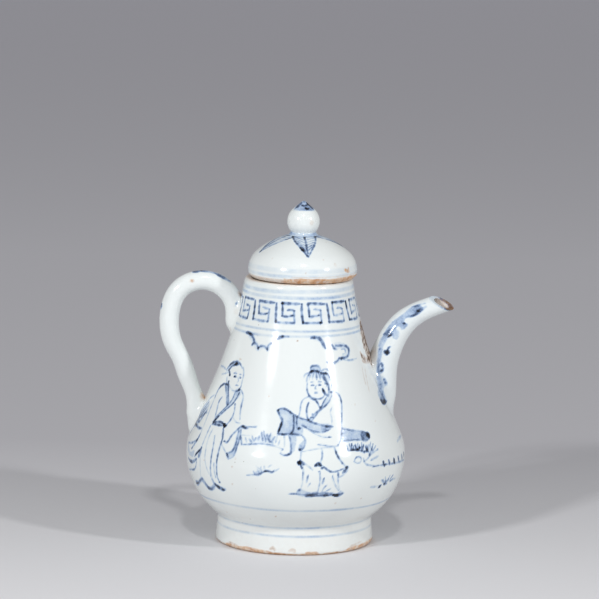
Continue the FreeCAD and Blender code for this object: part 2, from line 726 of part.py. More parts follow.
# Nothing is written unless every object solved and every piece is one sound solid.
for item in doc.Objects:
    if "Invalid" in item.State or "Error" in item.State:
        raise RuntimeError(f"{item.Name} failed: {item.State}")
    if item.isDerivedFrom("Sketcher::SketchObject") and (item.solve() != 0 or not item.FullyConstrained):
        raise RuntimeError(f"{item.Name} is not fully held")
for piece in pieces:
    if piece.Shape.isNull() or not piece.Shape.isValid() or len(piece.Shape.Solids) != 1:
        raise RuntimeError(f"{piece.Label} is not one sound solid")

os.makedirs("parts", exist_ok=True)
for piece in pieces:
    piece.Shape.exportStep(f"parts/{piece.Label}.step")
    box = piece.Shape.BoundBox
    print(f"{piece.Label}: {piece.Shape.Volume / 1000:.2f} cm3, x {box.XMin:.2f} to {box.XMax:.2f}, "
          f"y {box.YMin:.2f} to {box.YMax:.2f}, z {box.ZMin:.2f} to {box.ZMax:.2f}")
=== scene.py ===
# %% [markdown]
# # A blue-and-white porcelain teapot
#
# The teapot is an ewer: a pear-shaped body on a foot ring, a loop handle, a curved spout and a domed lid
# with a ball knob. The solids already give every piece its size and place. Here each piece gets the look of
# fired porcelain: rounded clay edges, a glassy cool glaze, and drawing in cobalt blue under the glaze.
#
# All pieces share one frame in metres, so they meet without being moved into place. The sizes below are in
# millimetres, because a potter would measure the pot that way, and each mesh is scaled once, at its end.

# %% Load the frame and keep the solids' own box
import math

import bmesh
import bpy
import numpy as np
from mathutils import Matrix, Vector


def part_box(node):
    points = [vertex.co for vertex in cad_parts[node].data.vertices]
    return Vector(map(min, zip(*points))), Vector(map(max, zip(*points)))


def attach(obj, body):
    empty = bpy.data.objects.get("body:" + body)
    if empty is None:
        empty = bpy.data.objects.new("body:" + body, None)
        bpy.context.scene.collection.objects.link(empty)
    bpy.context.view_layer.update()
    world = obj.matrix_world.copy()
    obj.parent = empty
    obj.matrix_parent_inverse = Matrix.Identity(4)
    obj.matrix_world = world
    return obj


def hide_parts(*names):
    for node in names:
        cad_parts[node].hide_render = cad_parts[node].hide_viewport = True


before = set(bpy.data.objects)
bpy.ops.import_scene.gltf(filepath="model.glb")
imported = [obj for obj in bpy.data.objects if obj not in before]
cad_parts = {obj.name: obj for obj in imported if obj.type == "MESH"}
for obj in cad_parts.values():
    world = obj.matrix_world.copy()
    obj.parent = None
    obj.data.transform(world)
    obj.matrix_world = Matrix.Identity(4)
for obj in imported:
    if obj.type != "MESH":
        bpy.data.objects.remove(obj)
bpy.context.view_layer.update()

MM = 0.001


def node_box(node):
    """A node's lowest and highest corners in millimetres."""
    low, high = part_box(node)
    return low / MM, high / MM


print("solids:", sorted(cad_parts))

# %% [markdown]
# ## The pot's outline
#
# A thrown pot is round, so one outline says everything about it. The belly's lower half is one arc up to the
# widest line. Above it come a shoulder arc, a straight slope, a long hollow bend and a short straight neck.
# The stretches run on smoothly, so the slope's angle follows from the others: the chord of the bend lies
# halfway between the slope's direction and the neck's. The same formula later tells the spout, the handle
# and the foot's bead of slip where the wall is.

# %% The wall as a formula
foot_top_radius = 33.6
foot_height = node_box("body_lower")[0].z
foot_base_radius = node_box("foot_ring")[1].x
belly_radius = node_box("body_lower")[1].x
belly_height = node_box("body_lower")[1].z
rim_height = node_box("body_upper")[1].z
mouth_radius = 23.45
body_wall = 3.6
shoulder_round = 20.5
slope_straight = 25.8
neck_angle = math.radians(10.4)
neck_straight = 4.0

bowl_widens = belly_radius - foot_top_radius
bowl_rises = belly_height - foot_height
bowl_round = (bowl_widens ** 2 + bowl_rises ** 2) / (2 * bowl_widens)
bowl_centre = Vector((belly_radius - bowl_round, belly_height))


def turned(angle):
    """A unit step at an angle."""
    return Vector((math.cos(angle), math.sin(angle)))


def across(angle):
    """A unit step at right angles to it."""
    return Vector((-math.sin(angle), math.cos(angle)))


shoulder_centre = Vector((belly_radius - shoulder_round, belly_height))
bend_top = Vector((mouth_radius + neck_straight * math.tan(neck_angle), rim_height - neck_straight))
climb = bend_top - shoulder_centre
half_turn = math.atan2(shoulder_round - climb.dot(turned(neck_angle)),
                       slope_straight + climb.dot(across(neck_angle)))
slope_angle = neck_angle + 2 * half_turn
slope_foot = shoulder_centre + turned(slope_angle) * shoulder_round
slope_top = slope_foot + across(slope_angle) * slope_straight
bend_round = (bend_top - slope_top).length / (2 * math.sin(half_turn))
bend_centre = bend_top + turned(neck_angle) * bend_round


def wall_radius(z):
    """The outer face's distance from the axis at each height, from the foot to the rim."""
    z = np.asarray(z, dtype=float)
    bowl = bowl_centre.x + np.sqrt(np.maximum(bowl_round ** 2 - (bowl_centre.y - z) ** 2, 0))
    shoulder = shoulder_centre.x + np.sqrt(np.maximum(shoulder_round ** 2 - (z - belly_height) ** 2, 0))
    slope = slope_foot.x - (z - slope_foot.y) * math.tan(slope_angle)
    bend = bend_centre.x - np.sqrt(np.maximum(bend_round ** 2 - (bend_centre.y - z) ** 2, 0))
    neck = mouth_radius + (rim_height - z) * math.tan(neck_angle)
    steps = [z < belly_height, z < slope_foot.y, z < slope_top.y, z < bend_top.y]
    return np.select(steps, [bowl, shoulder, slope, bend], neck)


print(f"slope {math.degrees(slope_angle):.2f} degrees, bend radius {bend_round:.1f} mm")

# %% [markdown]
# ## Spinning an outline
#
# A revolve could be a Screw modifier or a lathe of hand-written faces. The spin operator on a bmesh is the
# clearest: it takes a line of edges and sweeps it round the axis. The drawing is stored on the points of the
# mesh, so the side that carries the figures is spun in finer steps than the back.

# %% Helpers that make a closed round piece
FRONT_SECTOR = 196.0
SAME_POINT = 1e-4
WELD_GAP = 1e-3


def arc_run(centre, radius, start, end, step):
    """Points on an arc between two angles in degrees, no further apart than a step."""
    count = max(2, math.ceil(radius * abs(math.radians(end - start)) / step))
    angles = np.radians(np.linspace(start, end, count + 1))
    return [Vector((centre[0] + radius * math.cos(a), centre[1] + radius * math.sin(a))) for a in angles]


def straight_run(start, end, step):
    """Points on a straight line, no further apart than a step."""
    start, end = Vector(start), Vector(end)
    count = max(1, math.ceil((end - start).length / step))
    return [start.lerp(end, i / count) for i in range(count + 1)]


def join_runs(*runs):
    """One outline out of several runs, without the doubled points where they meet."""
    outline = [runs[0][0]]
    for run in runs:
        outline += [p for p in run if (p - outline[-1]).length > SAME_POINT]
    return outline


def spin_outline(outline, sectors, loop):
    """Sweeps an outline of (radius, height) round the Z axis: each sector is a wedge, doubled until full."""
    whole = bmesh.new()
    start = -sectors[0][0] / 2
    for degrees, steps, doublings in sectors:
        wedge = bmesh.new()
        first = math.radians(start)
        verts = [wedge.verts.new((p.x * math.sin(first), -p.x * math.cos(first), p.y)) for p in outline]
        pairs = list(zip(verts, verts[1:]))
        if loop:
            pairs.append((verts[-1], verts[0]))
        edges = [wedge.edges.new(pair) for pair in pairs]
        turn = math.radians(degrees) / 2 ** doublings
        bmesh.ops.spin(wedge, geom=verts + edges, cent=(0, 0, 0), axis=(0, 0, 1), angle=turn, steps=steps,
                       use_merge=False)
        for i in range(doublings):
            everything = wedge.verts[:] + wedge.edges[:] + wedge.faces[:]
            copied = bmesh.ops.duplicate(wedge, geom=everything)["geom"]
            verts = [item for item in copied if isinstance(item, bmesh.types.BMVert)]
            further = Matrix.Rotation(turn * 2 ** i, 3, "Z")
            bmesh.ops.rotate(wedge, cent=(0, 0, 0), matrix=further, verts=verts)
        part = bpy.data.meshes.new("sector")
        wedge.to_mesh(part)
        wedge.free()
        whole.from_mesh(part)
        bpy.data.meshes.remove(part)
        start += degrees
    bmesh.ops.remove_doubles(whole, verts=whole.verts, dist=WELD_GAP)
    bmesh.ops.recalc_face_normals(whole, faces=whole.faces)
    return whole


def finish_piece(bm, name, body, node, sharp=50):
    """Scales a mesh to metres, makes it an object on its body, and hides the node it stands for."""
    bmesh.ops.scale(bm, vec=(MM, MM, MM), verts=bm.verts)
    mesh = bpy.data.meshes.new(name)
    bm.to_mesh(mesh)
    bm.free()
    mesh.shade_smooth()
    mesh.set_sharp_from_angle(angle=math.radians(sharp))
    piece = bpy.data.objects.new(name, mesh)
    bpy.context.scene.collection.objects.link(piece)
    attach(piece, body)
    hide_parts(node)
    mesh.calc_loop_triangles()
    print(f"{name}: {len(mesh.loop_triangles)} triangles")
    return piece


# %% [markdown]
# ## The body
#
# The real body is thrown in two parts, a bowl and a shoulder with its neck, which are luted together at the
# widest line. Each is a closed shell with its own inner face. The bowl has a flat floor with a rounded inner
# corner, and the neck ends in a rounded rim. The solid's strainer holes behind the spout are left out here.

# %% Bowl and shoulder
DRAWN_STEP = 0.5
PLAIN_STEP = 2.6
FLOOR_STEP = 6.0
CORNER_STEP = 1.0
RIM_STEP = 0.25
BODY_SECTORS = [(FRONT_SECTOR, 11, 5), (360 - FRONT_SECTOR, 13, 3)]
floor_wall = 5.0
floor_top = foot_height + floor_wall
floor_round = 6.0
rim_round = 1.1

inner_bowl = bowl_round - body_wall
corner_drop = bowl_centre.y - floor_top - floor_round
corner_x = bowl_centre.x + math.sqrt((inner_bowl - floor_round) ** 2 - corner_drop ** 2)
corner_turn = math.degrees(math.atan2(-corner_drop, corner_x - bowl_centre.x))
foot_turn = math.degrees(math.atan2(-bowl_rises, foot_top_radius - bowl_centre.x))
bowl_outline = join_runs(
    straight_run((0, foot_height), (foot_top_radius, foot_height), FLOOR_STEP),
    arc_run(bowl_centre, bowl_round, foot_turn, 0, DRAWN_STEP),
    straight_run((belly_radius, belly_height), (belly_radius - body_wall, belly_height), body_wall),
    arc_run(bowl_centre, inner_bowl, 0, corner_turn, PLAIN_STEP),
    arc_run((corner_x, floor_top + floor_round), floor_round, corner_turn, -90, CORNER_STEP),
    straight_run((corner_x, floor_top), (0, floor_top), FLOOR_STEP),
)
bowl = finish_piece(spin_outline(bowl_outline, BODY_SECTORS, loop=False), "pot_bowl", "pot", "body_lower")


def wall_outline(inset, step):
    """The wall above the widest line, from the seam up to the rim, at a distance inside the outer face."""
    slope, neck = math.degrees(slope_angle), math.degrees(neck_angle)
    inside_slope = turned(slope_angle) * inset
    inside_neck = turned(neck_angle) * inset
    rim = Vector((mouth_radius - inset / math.cos(neck_angle), rim_height))
    return join_runs(
        arc_run(shoulder_centre, shoulder_round - inset, 0, slope, step),
        straight_run(slope_foot - inside_slope, slope_top - inside_slope, step),
        arc_run(bend_centre, bend_round + inset, 180 + slope, 180 + neck, step),
        straight_run(bend_top - inside_neck, rim, step),
    )


def rounded_rim(outer, inner):
    """The rim between the two faces, with both its corners rounded."""
    below = rim_height - rim_round
    keep_out = [p for p in outer if p.y < below]
    keep_in = [p for p in inner if p.y < below]
    outer_x = mouth_radius - rim_round
    inner_x = mouth_radius - body_wall / math.cos(neck_angle) + rim_round
    over = arc_run((outer_x, below), rim_round, math.degrees(neck_angle), 90, RIM_STEP)
    over += arc_run((inner_x, below), rim_round, 90, 180 + math.degrees(neck_angle), RIM_STEP)
    return join_runs(keep_out, over, keep_in[::-1])


shoulder_outline = rounded_rim(wall_outline(0, DRAWN_STEP), wall_outline(body_wall, PLAIN_STEP))
shoulder = finish_piece(spin_outline(shoulder_outline, BODY_SECTORS, loop=True),
                        "pot_shoulder", "pot", "body_upper")

# %% [markdown]
# ## The foot
#
# The foot ring is turned from a separate coil of clay and luted under the bowl. Its resting edge is wiped
# free of glaze, so it fires to a toasted orange. The bead of slip in the corner is a hollow fillet.

# %% Foot ring and its bead of slip
foot_wall = 5.0
foot_edge = 1.2
outer_edge = foot_edge * 1.4
bead, bead_sag, bead_thickness = 1.4, 0.35, 0.7
foot_bore = foot_base_radius - foot_wall
foot_flare = (foot_base_radius - foot_top_radius) / (foot_height - foot_edge)
EDGE_STEP = 0.3
FOOT_STEP = 0.4
REST_STEP = 1.0
BORE_STEP = 2.0
SLIP_POINTS = 9
SLIP_LIFT = 0.1
ROUND_SECTORS = [(FRONT_SECTOR, 14, 4), (360 - FRONT_SECTOR, 16, 3)]

foot_outline = join_runs(
    arc_run((foot_base_radius - outer_edge, outer_edge), outer_edge, -90, 0, EDGE_STEP),
    straight_run((foot_base_radius, outer_edge), (foot_top_radius, foot_height), FOOT_STEP),
    straight_run((foot_top_radius, foot_height), (foot_bore, foot_height), foot_wall),
    straight_run((foot_bore, foot_height), (foot_bore, foot_edge), BORE_STEP),
    arc_run((foot_bore + foot_edge, foot_edge), foot_edge, 180, 270, EDGE_STEP),
    straight_run((foot_bore + foot_edge, 0), (foot_base_radius - outer_edge, 0), REST_STEP),
)
foot = finish_piece(spin_outline(foot_outline[:-1], ROUND_SECTORS, loop=True),
                    "foot_ring_glazed", "pot", "foot_ring")


def slip_outline(low, high, sag, thickness, furthest=math.inf):
    """A bead of slip: a hollow face between two points, and a back that lies inside the clay."""
    bow = Vector((sag, -SLIP_LIFT))
    face = [low.lerp(high, t) - bow * 4 * t * (1 - t) for t in np.linspace(0, 1, SLIP_POINTS)]
    back = [Vector((min(p.x, furthest) - thickness, p.y)) for p in face[::-1]]
    return face + back


bead_low = Vector((foot_top_radius + bead * foot_flare, foot_height - bead))
bead_high = Vector((float(wall_radius(foot_height + bead)), foot_height + bead))
bead_outline = slip_outline(bead_low, bead_high, bead_sag, bead_thickness)
bead_ring = finish_piece(spin_outline(bead_outline, ROUND_SECTORS, loop=True),
                         "foot_slip_bead", "pot", "foot_slip")

# %% [markdown]
# ## Spout and handle
#
# Both are tubes on a curved line. A curve object with a bevel would be quicker, but its ends could not be
# worked into the wall. So a ring is extruded from station to station along a smooth line, and then every
# point near the wall is moved: points inside the wall are laid just under its face, and points close to it
# spread outwards, which is what a potter's thumb does with soft clay round a joint.

# %% Smooth lines
LOOP_LAP = 3


def smooth_line(points, spacing, loop=False):
    """Evenly spaced points on the natural cubic spline through a few points, of any dimension."""
    points = np.asarray(points, dtype=float)
    if loop:
        points = np.vstack([points[-LOOP_LAP:], points, points[:LOOP_LAP]])
    lengths = np.linalg.norm(np.diff(points, axis=0), axis=1)
    knots = np.concatenate([[0], np.cumsum(lengths)])
    count = len(points)
    bends = np.zeros_like(points)
    if count > 2:
        system = np.eye(count)
        target = np.zeros_like(points)
        for i in range(1, count - 1):
            system[i, i - 1:i + 2] = lengths[i - 1], 2 * (lengths[i - 1] + lengths[i]), lengths[i]
            after = (points[i + 1] - points[i]) / lengths[i]
            before = (points[i] - points[i - 1]) / lengths[i - 1]
            target[i] = 6 * (after - before)
        bends = np.linalg.solve(system, target)
    first, last = (knots[LOOP_LAP], knots[-LOOP_LAP]) if loop else (knots[0], knots[-1])
    places = np.linspace(first, last, max(2, math.ceil((last - first) / spacing) + 1))
    span = np.clip(np.searchsorted(knots, places, side="right") - 1, 0, count - 2)
    step = lengths[span][:, None]
    b = (places - knots[span])[:, None] / step
    a = 1 - b
    curve = (a ** 3 - a) * bends[span] + (b ** 3 - b) * bends[span + 1]
    return a * points[span] + b * points[span + 1] + curve * step ** 2 / 6


# %% Tubes
def station(line, i):
    """The frame of a tube's ring: square to its line, as wide as its radius there."""
    x, z, radius = line[i]
    ahead = line[min(i + 1, len(line) - 1)] - line[max(i - 1, 0)]
    along = Vector((ahead[0], 0, ahead[1])).normalized()
    side = Vector((along.z, 0, -along.x))
    return Matrix((
        (side.x * radius, 0, along.x, x),
        (0, radius, 0, 0),
        (side.z * radius, 0, along.z, z),
        (0, 0, 0, 1),
    ))


def each_once(items):
    """A list without repeats that keeps the order its items came in, as a set would not."""
    return list(dict.fromkeys(items))


def extrude_tube(bm, line, sides):
    """A tube of rings along a line of (x, z, radius), open at both ends. Returns its two end loops."""
    ring = bmesh.ops.create_circle(bm, segments=sides, radius=1.0, matrix=station(line, 0))["verts"]
    edges = each_once(edge for vert in ring for edge in vert.link_edges)
    first = edges
    for i in range(1, len(line)):
        grown = bmesh.ops.extrude_edge_only(bm, edges=edges)["geom"]
        ring = [item for item in grown if isinstance(item, bmesh.types.BMVert)]
        edges = [item for item in grown if isinstance(item, bmesh.types.BMEdge)]
        shift = station(line, i) @ station(line, i - 1).inverted()
        bmesh.ops.transform(bm, matrix=shift, verts=ring)
    return first, edges


# %% Working a tube's end into the wall
WALL_PROBE = 0.2
TURNED_AWAY = 0.75
UNDER_FACE = 0.08


def seat_on_wall(bm, fillet):
    """Lays points that are inside the wall just under its face, and spreads those close to it."""
    bm.normal_update()
    places = np.array([vert.co for vert in bm.verts])
    normals = np.array([vert.normal for vert in bm.verts])
    radius = np.hypot(places[:, 0], places[:, 1])
    z = np.clip(places[:, 2], foot_height, rim_height)
    lean = np.arctan((wall_radius(z - WALL_PROBE) - wall_radius(z + WALL_PROBE)) / (2 * WALL_PROBE))
    level = places[:, :2] / radius[:, None] * np.cos(lean)[:, None]
    outward = np.column_stack([level, np.sin(lean)])
    above = (radius - wall_radius(z)) * np.cos(lean)
    facing = np.sum(normals * outward, 1)
    aside = normals - facing[:, None] * outward
    aside /= np.maximum(np.linalg.norm(aside, axis=1), 1e-6)[:, None]
    left = fillet - np.clip(above, 0, fillet)
    spread = fillet - np.sqrt(np.maximum(fillet ** 2 - left ** 2, 0))
    spread *= np.clip((facing + TURNED_AWAY) / TURNED_AWAY, 0, 1)
    moved = places + aside * spread[:, None]
    sunk = above < 0
    moved[sunk] -= outward[sunk] * (above[sunk] + UNDER_FACE)[:, None]
    for vert, place in zip(bm.verts, moved):
        vert.co = place


# %% [markdown]
# The spout's lip is cut off at a slant, leaning down and a little towards the front. A plane cuts the outer
# tube and the bore at once, and a bridge between the two cut loops makes the lip. The bore ends blind
# partway down, where the solid's bore goes on to the wall.

# %% Spout
spout_rise, tip_reach, tip_drop = 28.6, 62.7, 10.3
spout_fillet, lip_bevel = 3.6, 0.4
spout_root = Vector((float(wall_radius(belly_height + spout_rise)), belly_height + spout_rise))
spout_tip = Vector((tip_reach, rim_height - tip_drop))
spout_shares = [(-0.04, -0.32), (-0.04, -0.15), (-0.04, 0), (-0.02, 0.28), (0.105, 0.525), (0.33, 0.76),
                (0.64, 0.905), (1, 1)]
spout_radii = [3.4, 6.2, 6.8, 6.7, 6.1, 5.5, 4.66, 4.3]
bore_radii = [4.3, 4.3, 4.3, 4.3, 3.9, 3.5, 3.1, 2.9]
SPOUT_SPACING = 0.5
SPOUT_SIDES = 84
BORE_FOOT = 77.0
LIP_WELD = 0.15
LIP_TOLERANCE = 1e-3
LIP_CORNER = 0.5


def spout_line(radii):
    """The spout's centre line with a radius at each point, carried on a little past the lip."""
    reach = spout_tip - spout_root
    line = [(spout_root.x + reach.x * x, spout_root.y + reach.y * z, r)
            for (x, z), r in zip(spout_shares, radii)]
    beyond = (2 * line[-1][0] - line[-2][0], 2 * line[-1][1] - line[-2][1], radii[-1])
    return smooth_line(line + [beyond], SPOUT_SPACING)


lip_lean, lip_skew = math.radians(29), math.radians(18)
lip_turn = Matrix.Rotation(lip_lean, 3, "Y") @ Matrix.Rotation(lip_skew, 3, "X")
lip_normal = lip_turn @ Vector((0, 0, 1))
lip_point = Vector((spout_tip.x, 0, spout_tip.y))


def on_lip(edge):
    """Whether an edge is a corner of the cut lip."""
    level = all(abs((vert.co - lip_point).dot(lip_normal)) < LIP_TOLERANCE for vert in edge.verts)
    return level and edge.calc_face_angle(0) > LIP_CORNER


bm = bmesh.new()
root_loop, _ = extrude_tube(bm, spout_line(spout_radii), SPOUT_SIDES)
bmesh.ops.edgeloop_fill(bm, edges=root_loop)
bore = spout_line(bore_radii)
bore_loop, _ = extrude_tube(bm, bore[bore[:, 1] > BORE_FOOT], SPOUT_SIDES)
bmesh.ops.edgeloop_fill(bm, edges=bore_loop)
cut = bmesh.ops.bisect_plane(bm, geom=bm.verts[:] + bm.edges[:] + bm.faces[:], dist=1e-5, plane_co=lip_point,
                             plane_no=lip_normal, clear_outer=True)
cut_edges = [item for item in cut["geom_cut"] if isinstance(item, bmesh.types.BMEdge)]
cut_verts = each_once(vert for edge in cut_edges for vert in edge.verts)
bmesh.ops.remove_doubles(bm, verts=cut_verts, dist=LIP_WELD)
bmesh.ops.bridge_loops(bm, edges=[edge for edge in bm.edges if edge.is_boundary])
bmesh.ops.recalc_face_normals(bm, faces=bm.faces)
seat_on_wall(bm, spout_fillet)
lip_edges = [edge for edge in bm.edges if on_lip(edge)]
bmesh.ops.bevel(bm, geom=lip_edges, offset=lip_bevel, segments=3, profile=0.5, affect="EDGES", material=-1,
                clamp_overlap=True)
spout = finish_piece(bm, "spout_tube", "pot", "spout")

# %% [markdown]
# The handle is a rolled strap, thickest at its ends, which are pressed on the neck and on the belly.

# %% Handle
HANDLE_BURY = 0.3
HANDLE_SPACING = 0.65
HANDLE_SIDES = 64
handle_fillet = 2.2


def pressed(z, radius):
    """A station of a pressed end, whose middle lies just inside the wall's face."""
    return HANDLE_BURY - float(wall_radius(z)), z, radius


handle_stations = [
    pressed(92.4, 1.38), pressed(94.25, 3.45), pressed(97.7, 4.6),
    (-27.9, 104.4, 4.45), (-32.8, 111.3, 4.3), (-41.6, 114.4, 4.3), (-50.9, 111.1, 4.3), (-56.2, 96.8, 4.3),
    (-54.3, 86.4, 4.1), (-51.0, 80.0, 3.95), (-48.2, 72.6, 4.05), (-45.0, 64.1, 3.8),
    pressed(53.5, 4.6), pressed(50.05, 2.76), pressed(48.2, 1.38),
]
bm = bmesh.new()
for end_loop in extrude_tube(bm, smooth_line(handle_stations, HANDLE_SPACING), HANDLE_SIDES):
    bmesh.ops.edgeloop_fill(bm, edges=end_loop)
bmesh.ops.recalc_face_normals(bm, faces=bm.faces)
seat_on_wall(bm, handle_fillet)
handle = finish_piece(bm, "handle_strap", "pot", "handle")

# %% [markdown]
# ## The lid
#
# The lid is a thrown dome with a ball knob luted on, and a collar underneath that drops into the mouth. It
# lies a little to one side, within its play, so its pieces are spun on the pot's axis and then moved onto
# the lid's own.

# %% Dome
lid_low, lid_high = node_box("lid_dome")
knob_low, knob_high = node_box("lid_knob")
collar_low, collar_high = node_box("lid_flange")
lid_x = (lid_low.x + lid_high.x) / 2
lid_radius = (lid_high.x - lid_low.x) / 2
seat, crown = lid_low.z, lid_high.z
collar_wall = 2.4
collar_bore = (collar_high.x - collar_low.x) / 2 - collar_wall
lid_tuck, lid_bevel, lid_widest = 0.4, 1.3, seat + 3.1
lid_shoulder, lid_cap, lid_wall = 10.9, 34.0, 3.8
knob_land = 6.0

land = Vector((knob_land, crown))
turn_centre = Vector((lid_radius - lid_shoulder, lid_widest))
to_land = land - turn_centre
reach = (lid_cap ** 2 - (lid_cap - lid_shoulder) ** 2 - to_land.length ** 2) / (2 * (lid_cap - lid_shoulder))
lid_turn = math.atan2(to_land.y, to_land.x) - math.acos(reach / to_land.length)
cap_centre = turn_centre - turned(lid_turn) * (lid_cap - lid_shoulder)
land_turn = math.atan2(land.y - cap_centre.y, land.x - cap_centre.x)
roof = crown - lid_wall
hollow_round = (collar_bore ** 2 + (roof - seat) ** 2) / (2 * (roof - seat))
hollow_start = math.degrees(math.acos(collar_bore / hollow_round))
side_drop = lid_widest - seat - lid_bevel
side_round = (lid_tuck ** 2 + side_drop ** 2) / (2 * lid_tuck)
side_turn = math.degrees(math.asin(side_drop / side_round))
edge_x = lid_radius - lid_tuck
LID_STEP = 0.4
FLAT_STEP = 1.5
UNDER_STEP = 2.0

dome_outline = join_runs(
    straight_run((collar_bore, seat), (edge_x - lid_bevel, seat), FLAT_STEP),
    straight_run((edge_x - lid_bevel, seat), (edge_x, seat + lid_bevel), EDGE_STEP),
    arc_run((lid_radius - side_round, lid_widest), side_round, -side_turn, 0, LID_STEP),
    arc_run(turn_centre, lid_shoulder, 0, math.degrees(lid_turn), LID_STEP),
    arc_run(cap_centre, lid_cap, math.degrees(lid_turn), math.degrees(land_turn), LID_STEP),
    straight_run(land, (0, crown), FLAT_STEP),
)
under_outline = arc_run((0, roof - hollow_round), hollow_round, 90, hollow_start, UNDER_STEP)
LID_SECTORS = [(FRONT_SECTOR, 15, 4), (360 - FRONT_SECTOR, 16, 3)]


def move_to_lid(bm):
    """Moves a mesh from the pot's axis to the lid's."""
    bmesh.ops.translate(bm, vec=(lid_x, 0, 0), verts=bm.verts)
    return bm


bm = spin_outline(dome_outline + under_outline, LID_SECTORS, loop=True)
dome = finish_piece(move_to_lid(bm), "lid_dome_glazed", "lid", "lid_dome", sharp=60)

# %% Knob, and the bead of slip round its root
knob_tip = knob_high.z
ball_radius = (knob_high.x - knob_low.x) / 2
ball_rise, tip_round = 5.9, 1.5
ball_centre = Vector((0, crown + ball_rise))
tip_centre = Vector((0, knob_tip - tip_round))
KNOB_STEP = 0.35
TIP_STEP = 0.2
KNOB_SECTORS = [(360, 10, 4)]


def ball_width(z):
    """The ball's radius at a height below its middle."""
    return math.sqrt(ball_radius ** 2 - (ball_centre.y - z) ** 2)


ball_lean = math.asin((ball_radius - tip_round) / (knob_tip - tip_round - ball_centre.y))
ball_start = -math.degrees(math.asin((ball_centre.y - crown) / ball_radius))
knob_outline = join_runs(
    straight_run((0, crown), (ball_width(crown), crown), FLAT_STEP),
    arc_run(ball_centre, ball_radius, ball_start, math.degrees(ball_lean), KNOB_STEP),
    straight_run(ball_centre + turned(ball_lean) * ball_radius,
                 tip_centre + turned(ball_lean) * tip_round, EDGE_STEP),
    arc_run(tip_centre, tip_round, math.degrees(ball_lean), 90, TIP_STEP),
)
bm = spin_outline(knob_outline, KNOB_SECTORS, loop=False)
knob = finish_piece(move_to_lid(bm), "knob_ball", "lid", "lid_knob")

slip_rise, slip_spread, slip_sink = 2.4, 0.5, 0.05
slip_sag, slip_thickness, slip_furthest = 0.75, 1.2, 5.2
slip_low = Vector((knob_land + slip_spread, crown - slip_sink))
slip_high = Vector((ball_width(crown + slip_rise), crown + slip_rise))
bm = spin_outline(slip_outline(slip_low, slip_high, slip_sag, slip_thickness, slip_furthest),
                  KNOB_SECTORS, loop=True)
knob_bead = finish_piece(move_to_lid(bm), "knob_slip_bead", "lid", "knob_slip")
collar = bpy.data.objects["lid_flange"]

# %% [markdown]
# ## Drawing in cobalt
#
# The painter works with one brush and a thin and a thick blue. Three kinds of mark are enough: a line that
# swells and thins, a dab, and a wash that fills a shape. A mark is given by a few points on the unrolled
# wall: how far round from the front, and how high, in millimetres. The density of blue at each point of the
# mesh is stored as an attribute, which the glaze material turns into colour.

# %% Marks and how they are laid down
SOFT = 0.28
WASH_SOFT = 0.45
PATH_STEP = 0.25
WASH_STEP = 0.5
MARGIN = 2.0
TAPER = 0.4
SWELL = 0.16
FIRST_LOAD = 1.15
DRYING = 0.35
LOAD_SWING = 0.3


def line(points, width, tone):
    """A brush line through a few points."""
    return {"kind": "line", "points": points, "width": width, "tone": tone}


def dab(x, z, radius, tone=0.9):
    """A touch of the brush: a very short, broad line."""
    return {"kind": "line", "points": [(x - 0.1, z), (x + 0.1, z)], "width": 2 * radius, "tone": tone}


def wash(points, tone):
    """A thin blue that fills an outline."""
    return {"kind": "wash", "points": points, "tone": tone}


def ease(low, high, value):
    """A soft step from 0 to 1 between two values."""
    t = np.clip((value - low) / (high - low), 0, 1)
    return t * t * (3 - 2 * t)


def over(density, laid):
    """One layer of pigment over another: together they never pass full density."""
    return 1 - (1 - density) * (1 - laid)


def gaps(u, v, path):
    """Distances from each place to each point of a path."""
    return np.sqrt((u[:, None] - path[:, 0]) ** 2 + (v[:, None] - path[:, 1]) ** 2)


def lay_line(u, v, mark):
    """Density of a brush line: it swells and thins under the hand, and dries towards its end."""
    path = smooth_line(mark["points"], PATH_STEP)
    gap = gaps(u, v, path)
    nearest = np.argmin(gap, axis=1)
    share = nearest / (len(path) - 1)
    along, start = nearest * PATH_STEP, 3.1 * path[0, 0] + 1.7 * path[0, 1]
    press = 0.5 * np.sin(0.9 * along + start) + 0.5 * np.sin(2.3 * along + 2 * start)
    half = mark["width"] / 2 * (1 - TAPER * np.abs(2 * share - 1) ** 3) * (1 + SWELL * press)
    tone = np.clip(mark["tone"] * (FIRST_LOAD - DRYING * share) * (1 + LOAD_SWING * press), 0, 1)
    soft = mark.get("soft", SOFT)
    return tone * (1 - ease(half - soft, half + soft, gap[np.arange(len(u)), nearest]))


def lay_wash(u, v, mark):
    """Density of a flat wash: even inside its outline, soft across the edge."""
    path = smooth_line(mark["points"], WASH_STEP, loop=True)
    ahead = np.roll(path, -1, axis=0)
    gap = gaps(u, v, path).min(axis=1)
    straddles = (path[:, 1] > v[:, None]) != (ahead[:, 1] > v[:, None])
    rise = np.where(ahead[:, 1] == path[:, 1], 1e-9, ahead[:, 1] - path[:, 1])
    crossing = path[:, 0] + (v[:, None] - path[:, 1]) / rise * (ahead[:, 0] - path[:, 0])
    inside = np.sum(straddles & (u[:, None] < crossing), axis=1) % 2 == 1
    soft = mark.get("soft", WASH_SOFT)
    return mark["tone"] * ease(-soft, soft, np.where(inside, gap, -gap))


LAYERS = {"line": lay_line, "wash": lay_wash}


def lay_marks(density, u, v, marks):
    """Adds marks to a density array, where u and v are the points' places on the unrolled face."""
    for mark in marks:
        spots = np.array(mark["points"])
        margin = mark.get("width", 0) / 2 + MARGIN
        low, high = spots.min(axis=0) - margin, spots.max(axis=0) + margin
        near = np.flatnonzero((u > low[0]) & (u < high[0]) & (v > low[1]) & (v < high[1]))
        if len(near):
            laid = LAYERS[mark["kind"]](u[near], v[near], mark)
            density[near] = over(density[near], laid)


# %% Banded lines, and what a mesh keeps
RING_SOFT = 0.3, 0.4


